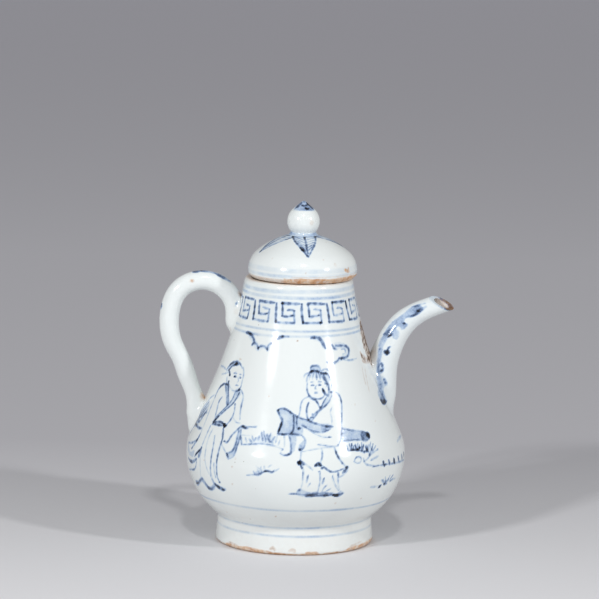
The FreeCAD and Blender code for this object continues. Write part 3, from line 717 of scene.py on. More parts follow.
def ring_density(turn, v, z, width, tone, waver=0.16):
    """Density of a banded line drawn while the pot turns on the wheel, a little uneven."""
    wander = z + waver * np.sin(2 * turn + z) + 0.5 * waver * np.sin(5 * turn + 2 * z)
    load = tone * (0.8 + 0.2 * np.sin(3 * turn + 1.7 * z))
    inner, outer = RING_SOFT
    return load * (1 - ease(width / 2 - inner, width / 2 + outer, np.abs(v - wander)))


def points_of(piece):
    """Places in millimetres and normals of a piece's points."""
    count = len(piece.data.vertices)
    places, normals = np.empty(count * 3), np.empty(count * 3)
    piece.data.vertices.foreach_get("co", places)
    piece.data.vertices.foreach_get("normal", normals)
    return places.reshape(-1, 3) / MM, normals.reshape(-1, 3)


def around_axis(places, normals):
    """How far round each point lies, how far from the pot's axis, and how much its face looks outwards."""
    turn = np.arctan2(places[:, 0], -places[:, 1])
    radius = np.hypot(places[:, 0], places[:, 1])
    return turn, radius, normals[:, 0] * places[:, 0] + normals[:, 1] * places[:, 1]


def store(piece, name, values):
    """Keeps one number for each point of a piece, for its material to read."""
    layer = piece.data.attributes.new(name, "FLOAT", "POINT")
    layer.data.foreach_set("value", np.clip(values, 0, 1).astype(np.float32))


# %% [markdown]
# ## What is drawn
#
# Under the rim runs a key fret between double lines. On the belly stand a scholar in loose robes and an
# attendant who carries a wrapped zither, a subject that potters drew for centuries. Scrolled clouds hang
# from the neck's lines, and tufts of grass stand on short ground lines. The two faces are plain ones, on
# the proportions of a drawing book. Every list below is a few brush marks.

# %% Key fret and clouds
FRET_UNITS = 14
FRET_START = -21.5
fret_unit = [
    line([(-0.2, 108.4), (0.0, 104.5), (0.3, 100.7)], 1.15, 0.48),
    line([(0.1, 100.6), (4.5, 100.4), (8.7, 100.5)], 1.0, 0.44),
    line([(8.7, 100.6), (8.3, 103.2), (8.1, 105.7)], 0.95, 0.4),
    line([(8.2, 105.7), (6.5, 106.0), (5.0, 106.2)], 0.9, 0.44),
    line([(10.0, 108.6), (6.0, 108.7), (2.4, 108.8)], 1.15, 0.48),
    line([(2.5, 108.8), (2.7, 106.0), (3.0, 103.3)], 0.95, 0.4),
    line([(2.9, 103.3), (5.2, 103.4), (7.4, 103.7)], 0.95, 0.44),
    dab(0.2, 100.9, 0.75, 0.5),
    dab(2.5, 108.6, 0.8, 0.55),
    dab(7.3, 103.7, 0.5, 0.45),
    dab(8.2, 100.5, 0.65, 0.5),
]
clouds = [
    wash([(-25, 95), (-21, 94.5), (-19.4, 92), (-17, 91), (-13.5, 91), (-11, 92.6), (-9, 93),
          (-10.2, 90.9), (-13, 88.2), (-15, 89), (-18, 87.8), (-20.2, 89.2), (-22, 91.5),
          (-24.4, 93.4)], 0.07),
    wash([(5.5, 95), (9, 95), (12, 92), (12.8, 89.6), (11.4, 90), (9.8, 92.6), (7, 93.6)], 0.1),
    wash([(16.5, 91), (23.5, 90.6), (25.8, 88), (25, 85.6), (21, 84.4), (17, 83.4), (20, 86), (23, 87),
          (22, 89), (17, 89.6)], 0.09),
    line([(-25.4, 94.5), (-23.3, 94.5), (-21.4, 93.4), (-20.4, 91.8), (-21.4, 89.9)], 1.29, 0.41),
    line([(-21.4, 89.9), (-20.1, 90.8), (-18.6, 90.3), (-17.9, 88.5)], 0.95, 0.41),
    line([(-17.9, 89.0), (-16.4, 90.1), (-14.5, 89.9), (-13.3, 88.7)], 0.95, 0.41),
    line([(-13.3, 88.5), (-12.9, 90.6), (-11.4, 91.6), (-10.1, 91.6)], 0.86, 0.37),
    line([(-10.4, 91.8), (-8.6, 93.7), (-6.4, 94.6), (-3.9, 94.8)], 1.12, 0.34),
    line([(5.8, 94.3), (8.0, 94.6), (9.9, 93.7), (11.1, 92.1), (12.4, 89.9)], 1.38, 0.37),
    line([(15.5, 91.2), (16.8, 89.6), (18.0, 89.0)], 1.12, 0.37),
    line([(17.4, 90.6), (20.5, 90.4), (23.3, 89.9), (24.9, 88.1), (24.3, 86.2), (21.8, 85.3),
          (19, 85.6)], 1.03, 0.41),
    line([(20.5, 89.0), (22.4, 88.7), (22.7, 87.4), (21.1, 86.8)], 0.69, 0.29),
    line([(19.3, 85.3), (16.8, 83.7), (13.0, 84.3)], 1.03, 0.37),
    line([(21.8, 84.6), (26.1, 84.0), (29.9, 84.3)], 0.69, 0.2),
    dab(-23.0, 94.3, 0.8, 0.45),
    dab(-21.2, 90.2, 0.7, 0.35),
    dab(-17.9, 89.0, 0.7, 0.35),
    dab(-13.3, 89.0, 0.7, 0.35),
    dab(-6.5, 94.7, 0.8, 0.45),
    dab(7.5, 94.4, 0.8, 0.45),
    dab(17.0, 89.5, 0.8, 0.35),
    dab(20.5, 85.2, 0.8, 0.4),
]
print(f"key fret: {len(fret_unit)} marks in a unit, clouds: {len(clouds)} marks")

# %% [markdown]
# The scholar stands at the left, half turned to the front. A figure on such a pot is a few outlines, a pale
# wash where the cloth is blue, and dark dabs where the brush first touches. So each figure is drawn from
# the head down, in groups that are short enough to change one at a time.

# %% The scholar's head
scholar_head = [
    wash([(-37.0, 77.8), (-36.0, 79.6), (-33.4, 81.2), (-30.0, 82.0), (-30.6, 80.6), (-33.8, 79.4),
          (-35.2, 77.6)], 0.2),
    line([(-37.6, 78.0), (-35.6, 79.9), (-33.2, 81.2), (-30.6, 82.0), (-28.8, 81.9), (-27.4, 81.0),
          (-26.2, 79.9)], 0.8, 0.4),
    line([(-36.0, 77.6), (-34.4, 79.0), (-32.2, 80.2), (-30.2, 80.8)], 0.7, 0.5),
    line([(-31.4, 80.7), (-30.0, 81.1), (-28.8, 81.1)], 1.3, 0.75),
    line([(-36, 77.8), (-35, 77.0), (-34.5, 76.0)], 0.95, 0.66),
    dab(-34.5, 76.0, 0.8, 0.8),
    dab(-34.6, 73.4, 0.6, 0.8),
    line([(-36.5, 75.0), (-36.1, 73.0), (-34.8, 71.6)], 0.69, 0.2),
    line([(-47, 77.8), (-42.5, 78.1), (-37, 77.3)], 0.69, 0.25),
    line([(-42.5, 75.1), (-39.5, 75.8), (-36, 76.8)], 0.6, 0.2),
    line([(-25.7, 80.2), (-25.2, 78.3), (-25.6, 75.5), (-26.3, 72.4)], 0.56, 0.29),
    line([(-26.3, 72.4), (-27.8, 70.7), (-30.0, 70.2), (-32.5, 70.8), (-34.2, 72.4)], 0.56, 0.33),
    line([(-31.6, 77.1), (-30.4, 77.4), (-29.4, 77.2)], 0.43, 0.37),
    line([(-27.6, 77.3), (-26.6, 77.2)], 0.43, 0.33),
    line([(-31.2, 75.9), (-29.7, 76.0)], 0.56, 0.66),
    line([(-27.6, 76.0), (-26.7, 75.9)], 0.52, 0.66),
    line([(-28.6, 75.9), (-28.1, 74.3), (-28.8, 74.0)], 0.43, 0.29),
    line([(-29.6, 72.7), (-28.0, 72.7)], 0.47, 0.41),
]

# %% The scholar's robe
scholar_robe = [
    wash([(-37, 72), (-34.6, 72.8), (-33.6, 68.5), (-32.8, 64.8), (-34, 63.8), (-35.3, 67.5)], 0.18),
    line([(-34.7, 73.0), (-34.0, 69.0), (-33.2, 65.0)], 0.86, 0.49),
    line([(-36.7, 71.5), (-35.3, 68.5), (-34.0, 64.2)], 0.6, 0.33),
    dab(-33.5, 64.4, 0.7, 0.6),
    dab(-27.1, 71.1, 1.0, 0.9),
    line([(-29.2, 70.4), (-31, 66.7), (-33.5, 64.1), (-37, 61.2), (-41.5, 57.7)], 0.5, 0.42),
    line([(-27, 69.8), (-30, 65.5), (-34, 62.4), (-38, 59.4), (-42.3, 56.2)], 0.6, 0.52),
    wash([(-28.5, 71.3), (-26.5, 70.5), (-30, 65.5), (-34, 62.4), (-38, 59.4), (-42.5, 56), (-41.7, 57.8),
          (-37, 61.3), (-33.3, 64.3), (-31, 66.8)], 0.15),
    line([(-38.5, 59.2), (-40.5, 57.6), (-42.3, 56.2)], 0.8, 0.6),
    line([(-42.3, 56.0), (-39.5, 56.6), (-37, 57.0), (-34.5, 56.2)], 0.77, 0.53),
    line([(-43, 55.1), (-39.5, 55.5), (-36, 55.5)], 0.86, 0.41),
    wash([(-43, 55.2), (-39.5, 56.7), (-37, 57.1), (-34.3, 56.2), (-36, 55.4), (-40, 55.2)], 0.17),
    dab(-34.3, 55.9, 1.2, 0.92),
    dab(-33.1, 56.0, 0.6, 0.8),
    dab(-42.2, 56.0, 0.8, 0.75),
    line([(-34.7, 72), (-37.5, 72), (-40, 71), (-42, 69.5), (-43.5, 67.5), (-44.5, 65.5)], 0.86, 0.45),
    line([(-44.5, 65.5), (-46, 62.5), (-47.5, 59.5), (-49, 56), (-50.5, 53), (-52, 50)], 0.69, 0.25),
    line([(-52, 50), (-54, 47.3), (-57, 44.5), (-59, 42.8)], 1.03, 0.37),
    line([(-45, 66.5), (-47.5, 65.5), (-50, 64.2), (-53, 62), (-57, 59.5)], 0.69, 0.25),
    line([(-38.2, 66.5), (-40, 64.7), (-40.7, 62), (-41.5, 58.5)], 0.77, 0.34),
    line([(-26, 71), (-24.7, 69), (-25, 66.5), (-25.7, 63), (-25.7, 59.5)], 0.65, 0.33),
    line([(-29, 65.2), (-29.2, 62), (-31, 58.5), (-33, 56.5)], 0.65, 0.34),
    dab(-28.9, 65.0, 0.5, 0.6),
    line([(-29.5, 59.7), (-28, 58.2), (-25.5, 57.8)], 0.52, 0.2),
    line([(-34, 49.8), (-32.2, 49.5), (-30.5, 51.5), (-27.5, 54.5), (-25, 56.8)], 0.77, 0.48),
    dab(-33.5, 49.8, 0.5, 0.8),
    dab(-23.8, 56.8, 0.8, 0.85),
    line([(-24.5, 56.7), (-22.5, 56.3), (-21.4, 56.4)], 0.95, 0.71),
    line([(-24.5, 57.2), (-20, 57.0), (-17.2, 57.3)], 0.52, 0.29),
    line([(-24.8, 56), (-25.3, 52), (-27, 47), (-28.5, 44), (-30, 43.2)], 0.69, 0.33),
    line([(-26, 55), (-27, 51), (-28.5, 47), (-32, 44.8)], 0.86, 0.34),
    wash([(-25, 56), (-25.4, 52), (-27, 47), (-28.7, 44), (-31, 43), (-32, 45), (-29, 46.6),
          (-27.2, 50.5)], 0.14),
    line([(-31.8, 45.0), (-30.8, 42.9)], 1.12, 0.81),
    line([(-35.2, 48.3), (-33.5, 46.5), (-31.8, 44.8)], 0.56, 0.25),
    line([(-34.8, 54.8), (-34.9, 50.5)], 0.95, 0.41),
    line([(-34.8, 54.5), (-34.8, 51), (-35.8, 48), (-36.8, 44.5), (-37.5, 40.5), (-37.5, 36.5),
          (-36.8, 33.5), (-35.8, 31.8)], 0.77, 0.41),
    dab(-35.7, 31.8, 0.6, 0.75),
    line([(-50.0, 63.0), (-54.0, 60.0), (-58.0, 57.0), (-61.5, 54.6)], 0.8, 0.42),
    line([(-51.5, 60.5), (-55.0, 57.6), (-58.5, 54.8)], 0.9, 0.5),
    line([(-49.5, 60.0), (-52.5, 57.4), (-55.5, 54.6)], 0.8, 0.4),
    line([(-54.5, 61.5), (-58.0, 58.8), (-63.0, 55.4)], 0.7, 0.36),
    wash([(-49, 62.5), (-54, 61), (-60, 57), (-63, 54.2), (-59.5, 53.4), (-55, 54.2), (-51.5, 58)], 0.15),
]

# %% The robe's hem and trailing cloth
scholar_hem = [
    wash([(-66, 43.5), (-62, 41.5), (-58, 41.8), (-55.5, 42.5), (-56.5, 39.8), (-60, 39.2),
          (-64, 40)], 0.16),
    wash([(-56, 28.6), (-52.5, 29.4), (-48.5, 32), (-44.5, 29.4), (-42, 28.6), (-38.5, 31), (-38.5, 29),
          (-42, 26.6), (-44.5, 27.2), (-48.5, 29.6), (-52.5, 27.2), (-55.5, 26.6)], 0.24),
    wash([(-42, 35), (-41, 33), (-38.5, 31), (-35, 30), (-32, 29), (-33.5, 28), (-37.5, 29),
          (-40.5, 31.5)], 0.25),
    line([(-38.5, 30.3), (-35.5, 29.0), (-33.0, 28.5)], 1.29, 0.71),
    dab(-33.7, 28.5, 0.9, 0.7),
    line([(-55.5, 27.5), (-52.5, 28.3), (-50.5, 29.8), (-48.5, 31), (-46.5, 29.8), (-44.5, 28.3),
          (-42, 27.5), (-40, 28.5), (-38.5, 30)], 1.2, 0.37),
    line([(-41.8, 53.5), (-43.5, 51), (-44.8, 48), (-45.5, 44), (-45.5, 40), (-44.3, 37),
          (-42.5, 34.5)], 0.69, 0.21),
    line([(-40, 51), (-40.3, 47), (-41, 42.5), (-41.5, 38), (-41, 34), (-39.5, 31.5)], 0.77, 0.33),
    line([(-39.3, 40), (-39, 36.5), (-38, 33.5)], 0.65, 0.25),
    line([(-44, 54.5), (-46, 51), (-47.8, 47.5), (-49, 44.8)], 0.65, 0.26),
    dab(-49.0, 44.8, 0.9, 0.75),
    line([(-49, 44.5), (-50.2, 42), (-51.2, 40.5)], 1.72, 0.37),
    line([(-49.3, 44.5), (-51.5, 42.8), (-54, 41), (-55, 40)], 0.86, 0.66),
    dab(-53.8, 41.0, 0.7, 0.75),
    line([(-49.5, 41.5), (-49.5, 36.5), (-49.3, 32)], 0.6, 0.18),
    line([(-64, 37.6), (-59, 37), (-56, 37.8), (-53, 39.3)], 1.55, 0.39),
    line([(-64, 32.2), (-59, 33.3), (-56.5, 33.8), (-54, 35.5), (-53, 38)], 0.86, 0.33),
    line([(-66, 51.9), (-59, 52), (-55.5, 51.7), (-52, 52)], 1.2, 0.48),
    line([(-66, 53.3), (-59.5, 53.8), (-56.5, 54)], 1.81, 0.41),
    line([(-59, 55.2), (-55.5, 56.2), (-52, 58), (-49.5, 58.6)], 0.86, 0.29),
    line([(-53.0, 60.7), (-56.5, 57.2), (-60.0, 53.4)], 0.5, 0.3),
    line([(-54.6, 60.4), (-58.0, 56.6), (-61.5, 52.8)], 0.5, 0.32),
    line([(-56.4, 59.6), (-59.5, 56.0), (-62.5, 52.4)], 0.55, 0.34),
    line([(-58.4, 58.4), (-61.0, 55.2), (-64.0, 51.6)], 0.6, 0.38),
    line([(-60.5, 57.0), (-63.0, 53.8), (-66.0, 50.0)], 0.7, 0.38),
    line([(-61.0, 52.4), (-66.0, 49.5), (-70.0, 46.5)], 0.9, 0.42),
    line([(-66, 44), (-59, 45.2), (-56.5, 46.2), (-54.2, 47.2)], 0.95, 0.39),
    dab(-54.3, 47.2, 0.7, 0.5),
    dab(-59.0, 42.8, 0.7, 0.6),
]
print(f"scholar: {len(scholar_head + scholar_robe + scholar_hem)} marks")

# %% [markdown]
# The attendant faces the front, with the wrapped zither slantwise under one arm. The zither is one pale wash
# in two parts, in front of the coat and behind it, with a darker end.

# %% The attendant's head
attendant_head = [
    line([(5.8, 81.2), (6, 82.5), (7.5, 82.9), (9.5, 82.5), (10.2, 81.2), (9.5, 80.2)], 0.77, 0.29),
    wash([(5.8, 81), (6.5, 82.7), (9, 82.8), (10.2, 81.2), (8, 80)], 0.14),
    line([(5.5, 80.2), (7.5, 80.8), (9.5, 80.3)], 1.12, 0.76),
    line([(10.5, 80.5), (12, 81.3), (13.5, 81.0), (14.3, 79.8)], 0.77, 0.29),
    line([(10.3, 79.9), (12, 79.7), (13.4, 79.5)], 0.95, 0.76),
    wash([(4.6, 78.6), (6.0, 80.2), (9.0, 80.4), (12.4, 79.6), (14.6, 77.4), (13.4, 75.8), (10.8, 77.4),
          (7.4, 77.8)], 0.09),
    line([(6.4, 80.0), (5.6, 78.6), (5.3, 77.2)], 0.5, 0.25),
    line([(7.5, 80.2), (6.9, 78.6), (6.7, 77.4)], 0.6, 0.3),
    line([(8.3, 80.2), (8.5, 78.6), (8.6, 77.2)], 0.7, 0.37),
    line([(9.2, 80.0), (9.9, 78.6), (10.2, 77.3)], 0.5, 0.26),
    line([(10.2, 79.7), (11.2, 78.2), (11.9, 77.0)], 0.6, 0.26),
    line([(5.2, 79.9), (3.5, 79.3), (3.0, 78.0)], 0.69, 0.29),
    line([(5.3, 79.5), (4.3, 77.5), (4.5, 75.6)], 0.77, 0.33),
    line([(11.5, 79.6), (12.5, 77), (14, 74.5), (14.3, 73)], 0.95, 0.41),
    line([(13.3, 79.6), (14.8, 77.5), (15.5, 75), (15.5, 73.4)], 0.69, 0.29),
    line([(11.3, 73.3), (12, 72), (13, 71), (14, 70.5)], 1.03, 0.66),
    line([(13.8, 74), (14.3, 72), (14, 70.8)], 0.95, 0.45),
    line([(12.2, 75.6), (13.3, 75.2), (12.9, 74.2)], 0.65, 0.37),
    line([(4.5, 75.6), (4.4, 73.5), (5, 71.5), (6.5, 70), (8.5, 69.4), (10.5, 69.5), (12, 70.5),
          (12.3, 71.6)], 0.65, 0.37),
    line([(6.0, 76.2), (7.5, 76.5)], 0.43, 0.34),
    line([(9.2, 76.5), (10.6, 76.3)], 0.43, 0.34),
    line([(6.2, 75.0), (7.5, 75.0)], 0.56, 0.53),
    line([(9.3, 75.1), (10.5, 75.0)], 0.56, 0.53),
    line([(8.4, 74.8), (8.0, 73.6), (8.6, 73.3)], 0.43, 0.29),
    line([(7.7, 71.9), (9.1, 71.9)], 0.47, 0.41),
]

# %% The attendant's coat
attendant_coat = [
    dab(15.3, 71.8, 0.9, 0.8),
    wash([(13, 70), (15.8, 71), (14.5, 68.5), (12, 66), (9.5, 64), (7.5, 61.5), (5, 60.6), (6, 61.7),
          (10.5, 65.7)], 0.15),
    line([(13, 69.8), (11.5, 67.5), (10.5, 65.6), (8, 63.5), (6, 61.5), (5, 60.8)], 0.6, 0.39),
    line([(15.5, 70.5), (14.5, 68.5), (12, 66), (9.5, 64), (7.5, 61.5), (6.5, 60.3)], 0.69, 0.41),
    dab(7.0, 63.2, 0.45, 0.6),
    dab(6.3, 62.0, 0.45, 0.6),
    dab(7.4, 62.0, 0.45, 0.6),
    dab(5.4, 61.2, 0.5, 0.65),
    line([(5, 71), (6, 69.8), (8, 69), (9.3, 67.5), (10.3, 65.5)], 0.69, 0.39),
    dab(10.2, 66.0, 0.45, 0.6),
    line([(5, 70.3), (3, 69.3), (1.9, 67), (1.6, 64.5), (1, 62)], 0.6, 0.29),
    line([(5.2, 68), (4.5, 65.5), (4.6, 63), (4.9, 61.3)], 0.77, 0.48),
    dab(5.2, 67.8, 0.5, 0.75),
    line([(16, 72.3), (18, 71.5), (19.5, 69.8), (20.3, 67), (20.4, 62.5), (20.4, 57.5), (20, 53),
          (18.8, 50.5)], 0.69, 0.33),
    line([(15.6, 65.6), (15, 64), (15.6, 61.5), (15.7, 59.5)], 0.6, 0.26),
    line([(5.5, 57), (8.5, 55.3), (12, 54), (15.5, 53.9)], 0.52, 0.21),
    line([(14.2, 53.9), (15.5, 53.9)], 0.6, 0.33),
    line([(9.5, 51), (13, 50.5), (16, 50), (19, 50.3)], 0.6, 0.25),
    dab(18.7, 50.5, 0.5, 0.5),
    line([(3, 48.3), (7, 49), (11, 49.5), (15, 49.8)], 0.52, 0.2),
    line([(-5, 55), (-4.8, 52), (-4.8, 50)], 0.6, 0.29),
    line([(-6.5, 47.5), (-5.5, 46.8), (-3.5, 46.8), (-2.2, 47.3), (-2, 49.5), (-2.2, 52),
          (-3, 54.8)], 0.77, 0.39),
    line([(-5.2, 49), (-6.4, 48.2)], 0.52, 0.25),
    wash([(-2.2, 55), (-0.3, 55), (-0.2, 50), (-0.8, 48), (-2.6, 47), (-2, 50)], 0.15),
    dab(-3.0, 47.1, 0.6, 0.5),
    line([(2.8, 54.5), (4, 53), (4, 51), (2.8, 49)], 0.6, 0.33),
    wash([(1.3, 50), (2.3, 51.8), (4, 53), (4.1, 50.8), (3, 48.8), (1.8, 48.3)], 0.25),
    dab(1.9, 49.0, 0.7, 0.55),
]

# %% The wrapped zither
attendant_zither = [
    wash([(-8, 64.5), (-6.5, 65.4), (-4.5, 65.2), (-2.5, 64), (-0.5, 62.8), (2.5, 61.5), (5, 61),
          (7.5, 59.8), (10.5, 59), (13, 58.4), (16, 57.9), (15, 57), (12, 56), (9, 56.1), (6, 57),
          (3.5, 58.2), (2.8, 55), (-1.5, 55.2), (-5.5, 55), (-7.8, 55.2), (-6.8, 58), (-6, 60.5),
          (-7, 62.5)], 0.165),
    line([(-8, 64.5), (-6.5, 65.4), (-4.5, 65.2), (-2.5, 64), (-0.5, 62.8), (2.5, 61.5),
          (5, 61)], 0.69, 0.41),
    line([(-8, 64.5), (-7, 62.5), (-6, 60.5), (-6.8, 58), (-7.8, 55.2)], 0.95, 0.49),
    line([(-5.8, 61.2), (-6.3, 59), (-7.5, 56)], 1.0, 0.4),
    dab(-7.9, 64.4, 0.6, 0.5),
    line([(-7.8, 55), (-5.5, 55), (-1.5, 55.2), (2.5, 54.8)], 0.77, 0.45),
    dab(-5.7, 55.0, 0.7, 0.7),
    line([(-1.2, 62.5), (-0.9, 59.5), (-1.2, 57), (-2.2, 55.2)], 0.8, 0.42),
    line([(0.5, 62.5), (0.3, 59), (1, 57)], 0.69, 0.37),
    dab(1.5, 57.6, 0.8, 0.7),
    line([(4.5, 58), (2.5, 59)], 0.77, 0.45),
    line([(5, 60.8), (7.5, 59.8), (10.5, 59), (13, 58.4), (16.2, 57.9)], 0.77, 0.49),
    line([(12.8, 58.4), (16.0, 58.0)], 0.95, 0.81),
    line([(3.5, 58.2), (6, 57), (9, 56.1), (12, 56), (15, 57)], 0.6, 0.34),
    wash([(11, 59), (16, 58), (14.8, 57), (11.5, 56)], 0.14),
    wash([(20.5, 57), (25, 56), (30.5, 55), (33.5, 54.3), (35.5, 52.5), (35, 51.5), (32, 51.2),
          (27, 51.8), (20.2, 52.2)], 0.17),
    wash([(30.5, 54.9), (33.5, 54.3), (35.6, 52.5), (35, 51.5), (31, 51.3)], 0.25),
    line([(32.8, 54.1), (34.4, 53.2), (35.1, 52.1)], 1.63, 0.81),
    line([(20.5, 57), (25, 56), (30.5, 55), (34, 54)], 0.6, 0.33),
    line([(20.2, 52.2), (27, 51.9), (32, 51.3)], 0.6, 0.29),
]

# %% The attendant's skirt
attendant_skirt = [
    line([(2.5, 48.5), (2.2, 46), (2, 44)], 0.6, 0.29),
    line([(1.3, 43.9), (2.6, 43.8), (3.6, 43.0)], 1.6, 0.75),
    dab(1.8, 43.5, 1.2, 0.93),
    line([(2.2, 43), (3, 41.3)], 0.95, 0.76),
    line([(3, 44), (5.3, 42.5), (7.5, 40.6)], 0.6, 0.3),
    line([(11.3, 49.2), (11.5, 46), (10.5, 43)], 0.6, 0.29),
    line([(8.6, 42.4), (9.6, 43.2), (11.0, 42.4)], 1.4, 0.75),
    dab(9.0, 42.6, 1.0, 0.93),
    dab(11.6, 41.3, 0.8, 0.9),
    line([(10, 42.8), (12, 42), (14, 40.5), (16, 39.6), (18.5, 39.8), (21, 40.5), (22.5, 40.8)], 0.69, 0.41),
    dab(22.9, 41.0, 1.2, 0.93),
    line([(22.6, 40.2), (21.0, 38.8)], 1.2, 0.6),
    line([(17, 49.5), (18, 47), (20, 44), (22, 41.8)], 0.77, 0.45),
    dab(20.8, 43.0, 0.5, 0.7),
    line([(23.5, 40), (21.5, 38), (19, 37)], 0.69, 0.29),
    line([(18.7, 39.3), (19, 37.5)], 0.69, 0.33),
    line([(3.5, 41), (3.3, 37.5), (3, 34), (2, 31.5)], 0.6, 0.3),
    line([(10.5, 40), (10.8, 36.5), (10.3, 33), (9.8, 30.8)], 0.6, 0.33),
    dab(10.3, 40.0, 0.5, 0.65),
    line([(19, 39), (19, 34), (20, 30.5)], 0.52, 0.25),
    line([(16.3, 37.8), (17.5, 34), (19.3, 31)], 0.6, 0.3),
    line([(5.5, 38.3), (4.9, 35)], 0.69, 0.3),
    line([(6.5, 34.8), (5.5, 33.3)], 0.6, 0.3),
    line([(12.5, 37), (11.8, 34.3)], 0.77, 0.34),
    line([(13.8, 33.8), (12.5, 32.5), (11.8, 31.3)], 0.6, 0.3),
    line([(15.5, 32), (13.5, 31)], 0.6, 0.25),
    wash([(0.6, 30.4), (2, 32.2), (4, 31.6), (8, 30.8), (10, 31), (10.8, 30.2), (9, 29), (5, 28.6)], 0.26),
    dab(2.0, 31.8, 0.8, 0.55),
    line([(-2.5, 29.9), (1, 29.9), (5, 29.5), (9.5, 29.8)], 0.77, 0.39),
    line([(4.8, 28.8), (8.5, 29), (14.5, 28.9)], 0.95, 0.39),
    wash([(10.8, 30.2), (15, 30.2), (19, 30), (20.5, 30.8), (21.5, 29.5), (20, 28.5), (15, 28.8),
          (11, 29)], 0.25),
    line([(5.5, 29.4), (9.0, 29.5), (13.5, 29.6), (17.0, 29.6)], 1.7, 0.2),
    line([(17, 29), (19.5, 28.9), (21.2, 29.6)], 1.5, 0.8),
]
attendant = attendant_head + attendant_coat + attendant_zither + attendant_skirt
print(f"attendant: {len(attendant)} marks")

# %% [markdown]
# The ground is a few thin lines with tufts on them. A tuft is a handful of single touches. The row on the
# long line at the right is one touch repeated, so a loop draws it.

# %% Grass, stones and ground lines
grass_between = [
    line([(-24.5, 49.5), (-22, 49.8), (-17, 50.5), (-12, 50.6), (-8.5, 50), (-5.5, 49)], 0.69, 0.29),
    dab(-5.5, 49.0, 0.5, 0.5),
    line([(-24.8, 52.8), (-24.3, 49.7)], 0.69, 0.33),
    line([(-24.3, 53.3), (-20.5, 53.5)], 0.52, 0.16),
    line([(-20.8, 52.3), (-19.3, 50.8)], 0.86, 0.33),
    line([(-17.5, 52.8), (-18.5, 51.3)], 0.95, 0.3),
    line([(-16, 53.5), (-16.5, 52)], 1.12, 0.25),
    line([(-15, 55.3), (-14.3, 52)], 0.86, 0.33),
    line([(-12.5, 54.5), (-12, 52.5)], 1.12, 0.3),
    line([(-10.8, 55), (-11.3, 52), (-9.8, 51.3)], 0.86, 0.3),
    line([(-9, 53.8), (-10.3, 52)], 0.77, 0.25),
    line([(-22.6, 52.6), (-21.8, 50.8)], 0.6, 0.25),
    line([(-19.4, 53.6), (-18.6, 51.6)], 0.6, 0.28),
    line([(-14.0, 55.8), (-13.4, 53.2)], 0.6, 0.3),
    line([(-13.2, 53.4), (-12.9, 51.6)], 0.6, 0.3),
    line([(-8.0, 54.2), (-8.6, 51.6)], 0.6, 0.28),
    line([(-6.8, 52.6), (-7.4, 50.6)], 0.6, 0.25),
    wash([(-18, 51.5), (-15.5, 54), (-12, 54.8), (-10, 54.5), (-9, 52.5), (-12, 51.3)], 0.07),
    line([(-21.3, 37), (-18.5, 37.5), (-15, 38.3), (-12.8, 39.5), (-10.3, 39.3), (-7, 41)], 0.77, 0.26),
    line([(-13.5, 39.3), (-12, 39.7), (-10, 39.3)], 0.8, 0.42),
    wash([(-18, 38), (-16, 39.5), (-14, 39), (-15, 37.6), (-17, 37.2)], 0.17),
    line([(-17, 41.3), (-15, 40)], 0.77, 0.16),
    line([(-16.6, 40.2), (-15.6, 38.6)], 0.6, 0.26),
    line([(-15.0, 41.2), (-14.4, 39.2)], 0.6, 0.24),
    line([(-13.4, 41.6), (-13.2, 39.8)], 0.6, 0.22),
    line([(-9.0, 40.2), (-9.8, 39.2)], 0.7, 0.34),
    line([(-18.4, 39.2), (-17.6, 38.0)], 0.6, 0.24),
    line([(-11.5, 41.5), (-10, 42.5)], 0.69, 0.16),
]
